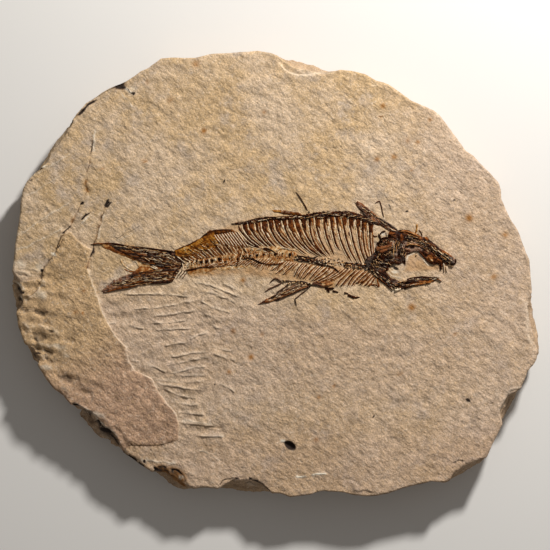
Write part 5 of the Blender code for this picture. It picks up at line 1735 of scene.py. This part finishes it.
    def build_column(self) -> None:
        """The vertebrae with their pits, and the spines to both sides."""
        piece = self.piece("backbone", "rust_bone")
        for number, (x0, x1, count, wide, tones) in enumerate(LUMPS):
            middle = (x0 + x1) / 2.0
            for ends in ((x0, middle), (middle, x1)):
                line = ((ends[0], along_line(COLUMN, ends[0])), (ends[1], along_line(COLUMN, ends[1])))
                self.scatter(piece, line, count // 2, wide, 200.0 + 14.0 * number + ends[0], tones, 0.1)
        piece.plate(COLUMN_PLATE)
        piece.plate(UNDER_PLATE)
        for number in range(6, self.vertebrae):
            x = COLUMN[0][0] + 0.6 + self.pitch * number
            y, drift = along_line(COLUMN, x), 0.3 * (self.chance(number, 11.0) - 0.5)
            for side in (1.0, -1.0):
                reach = 0.62 + 0.2 * self.chance(number, 14.0 + side)
                edge = [
                    (x - 0.1, y + side * (reach + 0.1)), (x + 0.5, y + side * reach * 0.7),
                    (x + 1.2, y + side * reach),
                ]
                tone = 0.4 + 0.3 * self.chance(number, 16.0 + side)
                piece.bar(Bar(edge, (0.3, 0.26), tone, 0.22))
            waist = [(x, y + 0.5 + drift), (x + 0.1, y - 0.45 + drift)]
            piece.bar(Bar(waist, (0.3, 0.34), 0.3 + 0.3 * self.chance(number, 17.0), 0.22))
        for number, (start, end, count) in enumerate(CRUSHED):
            self.scatter(piece, (start, end), count, 1.9, 20.0 + 8.0 * number, (0.0, 0.26))
            self.scatter(piece, (start, end), count // 2, 1.8, 24.0 + 8.0 * number, (0.5, 1.05), 0.4)
        self.add_spines(piece)
        for number, (x, y, size) in enumerate(PITS):
            for side in (1.0, -1.0):
                gap = 0.3 + 0.5 * size
                arc = [
                    (x + side * gap, y + 0.75 * size), (x + side * (gap + 0.14), y),
                    (x + side * gap, y - 0.75 * size),
                ]
                tone = 0.84 + 0.14 * self.chance(number, 40.0 + side)
                piece.bar(Bar(arc, (0.26, 0.22), tone, 0.3, lift=0.1))
            pit = [(x, y + 0.42 * size), (x + 0.12, y - 0.42 * size)]
            piece.bar(Bar(pit, (0.85 * size, 0.95 * size), -0.1, 0.34, lift=0.16))
            speck = [(x + 0.3 - 0.7 * self.chance(number, 43.0), y - 0.9), (x + 0.1, y - 0.5)]
            piece.bar(Bar(speck, (0.2, 0.26), 0.06, 0.3, lift=0.12))
        self.strokes(piece, COLUMN_STROKES, 0.7, 0.3, lift=0.14)
        piece.finish(self.materials)

    def add_spines(self, piece: BonePiece) -> None:
        """The fine spines of the column, to the back and, behind the ribs, to the belly."""
        for number in range(self.rear_spines):
            x = self.first_spine + number * 0.9 + 0.5 * self.chance(number, 51.0)
            y = along_line(COLUMN, x) + 0.7
            steep = 0.5 + 0.9 * number / self.rear_spines
            long = 0.8 + 0.5 * self.chance(number, 52.0)
            line = [
                (x, y), (x - 0.9 * long, y + 0.9 * steep * long),
                (x - 2.0 * long, y + 2.3 * steep * long),
            ]
            piece.bar(Bar(line, (0.4, 0.24), 0.14 + 0.4 * self.chance(number, 7.0), 0.26, lift=0.06))
            pale = shifted(line, 0.4, 0.1)
            piece.bar(Bar(pale, (0.22, 0.12), 0.78 + 0.2 * self.chance(number, 53.0), 0.22, lift=0.06))
        for number in range(24):
            x = self.first_spine + 5.0 + number * 0.82 + 0.5 * self.chance(number, 54.0)
            y = along_line(COLUMN, x) - 1.0
            steep = 0.42 + 0.6 * number / 24.0
            long = 0.8 + 0.5 * self.chance(number, 30.0)
            line = [
                (x, y), (x - 1.0 * long, y - 0.9 * steep * long),
                (x - 2.5 * long, y - 2.3 * steep * long),
            ]
            tone = 0.3 + 0.3 * self.chance(number, 8.0)
            piece.bar(Bar(line, (0.36, 0.2), tone, 0.18, lift=0.08, waver=0.1))
            # a pale bar painted beside each spine as a highlight
            glint = shifted(line, -0.36, 0.1)
            piece.bar(Bar(glint, (0.22, 0.12), 0.94, 0.18, lift=0.08, waver=0.1))
        for number in range(7):
            x, y = -27.1 + number * 0.4, 0.85 - 0.04 * number
            tone = 1.05 if number % 2 else 0.22
            piece.bar(Bar([(x, y), (x - 0.8, y - 1.0), (x - 1.7, y - 2.1)], (0.26, 0.2), tone, 0.24))
        for number in range(34):
            x = -3.6 + 0.62 * number + 0.5 * self.chance(number, 57.0)
            y = along_line(COLUMN, x) - 1.5 - 0.4 * self.chance(number, 58.0)
            long = 0.6 + 0.7 * self.chance(number, 59.0)
            line = [(x, y), (x - 1.2 * long, y - 1.1 * long), (x - 2.1 * long, y - 2.5 * long)]
            piece.bar(Bar(line, (0.32, 0.2), 0.36 + 0.26 * self.chance(number, 61.0), 0.16, waver=0.1))
            # with a pale bar painted beside it as a highlight
            piece.bar(Bar(shifted(line, -0.34, 0.06), (0.24, 0.12), 0.96, 0.16, waver=0.1))
        for number, line in enumerate(BACK_SPINES):
            hooked = 0.5 if number > 13 else 0.24
            tone = 0.22 + 0.2 * self.chance(number, 9.0)
            piece.bar(Bar(line, (0.42, hooked + 0.06), tone, 0.28, waver=0.07))
            # a pale bar painted beside each back spine as a highlight
            lit = shifted(line, -0.36, -0.06)
            piece.bar(Bar(lit, (0.24, 0.16), 0.95, 0.22, waver=0.07))
            if number < 20:
                thin = shifted(line, 0.5, -0.1)
                piece.bar(Bar(thin, (0.26, 0.2), tone + 0.24, 0.16, waver=0.08))
        for number in range(self.fin_supports):
            x, y = -17.6 + 0.72 * number, 11.0 + 0.1 * number
            long = 0.8 + 0.06 * number + 0.2 * self.chance(number, 55.0)
            line = [(x, y), (x + 1.0 * long, y - 1.4 * long), (x + 2.3 * long, y - 3.1 * long)]
            piece.bar(Bar(line, (0.38, 0.26), 0.3 + 0.2 * self.chance(number, 4.0), 0.24, lift=0.08))
            piece.bar(Bar(shifted(line, 0.36, 0.06), (0.3, 0.18), 1.06, 0.26, lift=0.12))
        for number in range(16):
            x, y = -14.6 + 0.5 * number, 8.6 - 0.2 * number
            long = 0.7 + 0.6 * self.chance(number, 56.0)
            line = [(x, y), (x + 0.8 * long, y - 0.8 * long), (x + 1.6 * long, y - 1.4 * long)]
            piece.bar(Bar(line, (0.3, 0.2), (0.4, 0.9)[number % 2], 0.18, waver=0.1))

    def dashes(self, piece: BonePiece, ray: Array, row: float, dash: int = 3) -> None:
        """Lay a ray as a run of short dashes, dark, rust or pale by turns."""
        for number, start in enumerate(range(0, len(ray) - dash, dash - 1)):
            pick = self.chance(number, row + 3.0)
            tone = 0.02 + 0.2 * self.chance(number, row + 4.0)
            if pick > 0.5:
                tone = 0.32 + 0.22 * self.chance(number, row + 5.0)
            if pick > 0.78:
                tone = 0.84
            line = [tuple(point) for point in ray[start : start + dash]]
            painted_sheen = 0.8 * self.chance(number, row + 6.0) ** 4
            piece.bar(Bar(line, (0.26, 0.16), tone, 0.3, painted_sheen, 0.13 + 0.1 * (0.8 - tone), 0.05))

    def build_tail(self) -> None:
        """The forked tail fin: two webs of rays that fan out from the column's end."""
        piece = self.piece("tail_fin")
        piece.plate(UPPER_LOBE_PLATE)
        piece.plate(LOWER_LOBE_PLATE)
        for guides, row in ((UPPER_RAYS, 1040.0), (LOWER_RAYS, 1250.0)):
            for number in range(self.lobe_rays):
                share = (number + 0.5) / self.lobe_rays
                ray = rounded_line(between(guides[0], guides[1], share))
                kept = round(len(ray) * (0.8 + 0.2 * self.chance(number, row)))
                self.dashes(piece, ray[:kept], row + 8.7 * number)
        self.strokes(piece, TAIL_STROKES, 0.8, 0.38, lift=0.14)
        piece.bar(Bar(path(-4351, 449, -4312, 281, -4143, 140, -3947, 84), (0.5, 0.4), 0.9, 0.14))
        piece.bar(Bar(path(-4256, 140, -4115, 67, -3919, 56), (0.3, 0.3), 0.44, 0.12))
        self.splinters(piece, TAIL_SPLINTERS, 600.0, ((0.66, 1.0), 0.34, 1.0), ((0.0, 0.16), 0.34, 1.0))
        piece.finish(self.materials)

    def build_fins(self) -> None:
        """The other fins."""
        anal = self.piece("anal_fin", "amber_bone")
        anal.plate(ANAL_PLATE)
        anal.bar(Bar(path(-2834, 663, -2570, 770, -2329, 871, -2132, 989), (0.34, 0.4), 0.16, 0.26))
        line = path(-2149, 966, -1980, 1096, -1868, 1185, -1671, 1225, -1222, 1242)
        anal.bar(Bar(line, (0.44, 0.6), 0.06, 0.3))
        anal.bar(Bar(path(-1952, 1056, -1784, 1124, -1587, 1152), (0.5, 0.4), 0.14, 0.24))
        anal.bar(Bar(path(-1952, 1140, -1728, 1185, -1447, 1197, -1250, 1208), (0.9, 0.7), 0.2, 0.22))
        anal.bar(Bar(path(-1278, 1242, -1166, 1180, -1025, 1067, -913, 955), (0.8, 0.5), 0.3, 0.26))
        for number in range(9):
            x = 10.0 * self.chance(number, 64.0) - 19.0
            line = [(x, 10.6), (x + 1.2, 9.0), (x + 2.4, 7.0)]
            anal.bar(Bar(line, (0.5, 0.4), 0.36 + 0.2 * self.chance(number, 65.0), 0.12, waver=0.1))
        self.scatter(anal, ((-26.54, 5.62), (-17.28, 9.55)), 40, 3.4, 700.0, (0.1, 0.46), 0.2, -38.0)
        self.scatter(anal, ((-26.54, 5.62), (-16.71, 8.99)), 26, 3.4, 708.0, (0.7, 0.98), 0.2, -38.0)
        anal.finish(self.materials)
        dorsal = self.piece("dorsal_fin")
        dorsal.plate(DORSAL_PLATE)
        self.scatter(dorsal, ((-2.67, -7.58), (8.01, -3.37)), 30, 1.2, 960.0, (0.7, 1.0), 0.3, 28.0)
        self.strokes(dorsal, DORSAL_STROKES, 0.8, 0.32, 0.1, 0.16, 0.1)
        self.scatter(dorsal, ((1.54, -1.97), (10.25, -2.7)), 16, 0.8, 990.0, (0.7, 1.0), 0.7)
        dorsal.finish(self.materials)
        pectoral = self.piece("pectoral_fin")
        pectoral.plate(PECTORAL_PLATE)
        self.scatter(pectoral, ((23.74, 18.82), (32.72, 12.64)), 24, 1.6, 980.0, (0.0, 0.2), 0.36, -36.0)
        self.scatter(pectoral, ((23.74, 18.82), (32.72, 12.64)), 14, 1.4, 988.0, (0.7, 0.95), 0.36, -36.0)
        self.strokes(pectoral, PECTORAL_STROKES, 1.0, 0.42, 0.2, waver=0.06)
        pectoral.finish(self.materials)
        pelvic = self.piece("pelvic_fin", "amber_bone")
        pelvic.plate(PELVIC_PLATE)
        pelvic.finish(self.materials)

    def build_head(self) -> None:
        """The crushed gill cover and jaws, and the skull roof."""
        head = self.piece("gill_cover_and_jaws")
        head.plate(HEAD_PLATE)
        self.strokes(head, JAW_STROKES, 0.9, 0.66, waver=0.09)
        for row, (start, end, count, wide, tones) in enumerate(HEAD_CRUMBS):
            self.scatter(head, (start, end), count, wide, 400.0 + 9.0 * row, tones)
        self.splinters(head, HEAD_SPLINTERS, 760.0, ((0.6, 0.9), 0.5, 1.0), ((-0.1, 0.1), 0.52, 2.0))
        self.scatter(head, ((33.29, 7.58), (36.1, 6.74)), 22, 3.6, 70.0)
        self.scatter(head, ((36.1, 8.71), (41.71, 7.58)), 40, 2.6, 80.0, (0.02, 0.9))
        self.scatter(head, ((43.4, 7.02), (49.86, 3.65)), 36, 1.8, 90.0, (0.0, 0.6))
        self.scatter(head, ((25.98, 2.53), (29.07, 3.37)), 26, 2.6, 1010.0, (-0.1, 0.2), 0.6, -64.0)
        self.scatter(head, ((26.26, 2.25), (28.79, 3.37)), 9, 2.4, 1018.0, (0.6, 0.9), 0.6, -64.0)
        self.strokes(head, HEAD_GLINTS, 0.7, 0.3, 0.1, 0.62, 0.1)
        head.finish(self.materials)
        roof = self.piece("skull_roof")
        roof.plate(ROOF_PLATE)
        self.strokes(roof, ROOF_STROKES, 0.8, 0.56, waver=0.08)
        self.splinters(roof, ROOF_SPLINTERS, 900.0, ((0.66, 0.96), 0.44, 0.5), ((-0.05, 0.12), 0.46, 1.0))
        self.scatter(roof, ((27.11, 1.69), (32.72, -3.37)), 34, 1.6, 100.0, (0.0, 0.7))
        self.scatter(roof, ((32.44, -2.81), (35.53, -3.37)), 22, 1.8, 110.0, (0.0, 0.8))
        self.scatter(roof, ((36.66, -1.97), (44.52, -1.4)), 14, 0.6, 120.0, (0.05, 0.6))
        roof.finish(self.materials)

    def build_loose_bones(self) -> None:
        """The loose rays, spines and scraps around the fish."""
        bars = {
            "belly_ray": [Bar(path(565, 2315, 688, 2163, 801, 1966, 907, 1770), (0.2, 0.34), 0.14, 0.36)],
            "pectoral_ray": [Bar(path(2795, 1978, 2930, 2090, 2969, 1910, 3045, 1584), (0.36, 0.26),
                                 0.2, 0.34)],
            "shoulder_bone": [
                Bar(path(2722, 1107, 2795, 1051, 2868, 1067), (0.3, 0.4), 0.16, 0.3),
                Bar(path(2890, 1124, 2947, 1011, 2963, 899, 2919, 787), (0.6, 0.6), 0.02, 0.45),
                Bar(path(2935, 1112, 2992, 1185, 3093, 1208), (0.5, 0.4), 0.06, 0.42),
                Bar(path(2963, 1006, 3076, 1000, 3216, 1039, 3413, 1067), (0.66, 0.5), 0.02, 0.45),
                Bar(path(3104, 1191, 3132, 1067), (0.4, 0.34), 0.9, 0.4, 1.0),
            ],
            "bone_scrap_1": [
                Bar(path(1379, -376, 1475, -410, 1654, -399), (0.6, 0.6), 0.05, 0.42),
                Bar(path(1447, -421, 1514, -522), (0.7, 0.5), 0.12, 0.36),
            ],
            "bone_scrap_2": [Bar(path(1598, -466, 1767, -517), (0.5, 0.5), 0.1, 0.36)],
            "bone_scrap_3": [
                Bar(path(1924, -517, 2048, -551), (0.4, 0.4), 0.1, 0.34),
                Bar(path(2025, -579, 2121, -635, 2244, -663), (0.7, 0.8), 0.06, 0.42),
            ],
            "bone_scrap_4": [Bar(path(2233, -663, 2368, -646), (0.5, 0.4), 0.16, 0.36)],
        }
        for node, parts in bars.items():
            piece = self.piece(node)
            for part in parts:
                piece.bar(part)
            piece.finish(self.materials)
        spine = self.piece("throat_spine", "amber_bone")
        spine.bar(Bar(path(3975, 1404, 3975, 1264, 3935, 1140), (0.44, 0.5), 0.64, 0.4))
        spine.bar(Bar(path(4020, 1247, 4087, 1180, 4126, 1067), (0.2, 0.3), 0.14, 0.3))
        spine.finish(self.materials)


@dataclass(frozen=True)
class Studio:
    """The floor, the light and the camera."""

    centre: Point = (-0.14, -0.28)
    lens: float = 150.0
    sensor: float = 36.0
    view_width: float = 154.49
    focus_height: float = 10.6
    key_heading: float = 60.0
    key_height: float = 35.0
    key_distance: float = 0.45
    key_size: float = 0.05
    key_power: float = 2.75
    key_colour: Colour = (1.0, 0.965, 0.92)
    sky_strength: float = 0.2
    sky_colour: Colour = (1.0, 0.93, 0.86)
    floor_colour: Colour = (0.74, 0.735, 0.72)

    def build(self) -> None:
        """Set up the stage."""
        self.add_floor()
        self.add_light()
        self.add_camera()
        scene = bpy.context.scene
        scene.view_settings.view_transform = "Standard"
        scene.view_settings.look = "None"

    def add_floor(self) -> None:
        """The pale, plain floor."""
        mesh = bmesh.new()
        bmesh.ops.create_grid(mesh, x_segments=1, y_segments=1, size=2.0)
        data = bpy.data.meshes.new("floor")
        mesh.to_mesh(data)
        mesh.free()
        material = bpy.data.materials.new("floor_paper")
        material.use_nodes = True
        shader = material.node_tree.nodes["Principled BSDF"]
        graph = Graph(material.node_tree)
        place = graph.add("TexCoord").outputs["Object"]
        soft = graph.noise(place, 0.4, 2.0)
        shade = graph.blend(soft, self.floor_colour, tuple(0.96 * part for part in self.floor_colour))
        graph.tree.links.new(shade, shader.inputs["Base Color"])
        shader.inputs["Roughness"].default_value = 0.9
        data.materials.append(material)
        floor = bpy.data.objects.new("floor", data)
        bpy.context.scene.collection.objects.link(floor)

    def add_light(self) -> None:
        """One raking key light, and an even sky to fill its shadows."""
        lamp = bpy.data.lights.new("key", "AREA")
        lamp.shape = "DISK"
        lamp.size = self.key_size
        lamp.energy = self.key_power
        lamp.color = self.key_colour
        key = bpy.data.objects.new("key", lamp)
        turn, rise = math.radians(self.key_heading), math.radians(self.key_height)
        towards = Vector((math.cos(turn) * math.cos(rise), math.sin(turn) * math.cos(rise), math.sin(rise)))
        key.location = towards * self.key_distance
        key.rotation_euler = towards.to_track_quat("Z", "Y").to_euler()
        bpy.context.scene.collection.objects.link(key)
        world = bpy.data.worlds.new("studio")
        world.use_nodes = True
        world.node_tree.nodes["Background"].inputs["Color"].default_value = (*self.sky_colour, 1.0)
        world.node_tree.nodes["Background"].inputs["Strength"].default_value = self.sky_strength
        bpy.context.scene.world = world

    def add_camera(self) -> None:
        """A camera straight above the slab."""
        lens = bpy.data.cameras.new("camera")
        lens.lens = self.lens
        lens.sensor_width = self.sensor
        lens.clip_end = 10.0
        camera = bpy.data.objects.new("camera", lens)
        above = self.view_width * self.lens / self.sensor
        camera.location = (self.centre[0] * MM, self.centre[1] * MM, (self.focus_height + above) * MM)
        bpy.context.scene.collection.objects.link(camera)
        bpy.context.scene.camera = camera


def hackles() -> list[Crease]:
    """The fine ripples of the split face: each has a lip painted pale as a highlight, and below it a groove
    painted dark as shade.
    """
    lips = [Crease(Form.RIDGE, line, 0.24, 0.42, pale=0.14, pull=0.6) for line in HACKLES]
    shades = [
        Crease(Form.CRACK, shifted(line, -0.05, -0.4), 0.08, 0.17, 0.22, 0.1, pull=0.3)
        for line in HACKLES
    ]
    return lips + shades


def main() -> None:
    """Build the slab, the fish on it, and the stage around them."""
    logging.basicConfig(level=logging.INFO, format="%(message)s")
    grain = grain_group()
    face = SplitFace([*CRACKS, *SCARS, *hackles()], SPOTS)
    StoneSlab(face, Rim()).build(StoneFinish().material(grain))
    materials = {
        "dark_bone": BoneFinish("dark_bone_surface").material(grain),
        "rust_bone": BoneFinish("rust_bone_surface").material(grain),
        "amber_bone": BoneFinish("amber_bone_surface", AMBER_TONES).material(grain),
    }
    Fish(face, materials).build()
    Studio().build()


if __name__ == "__main__":
    main()
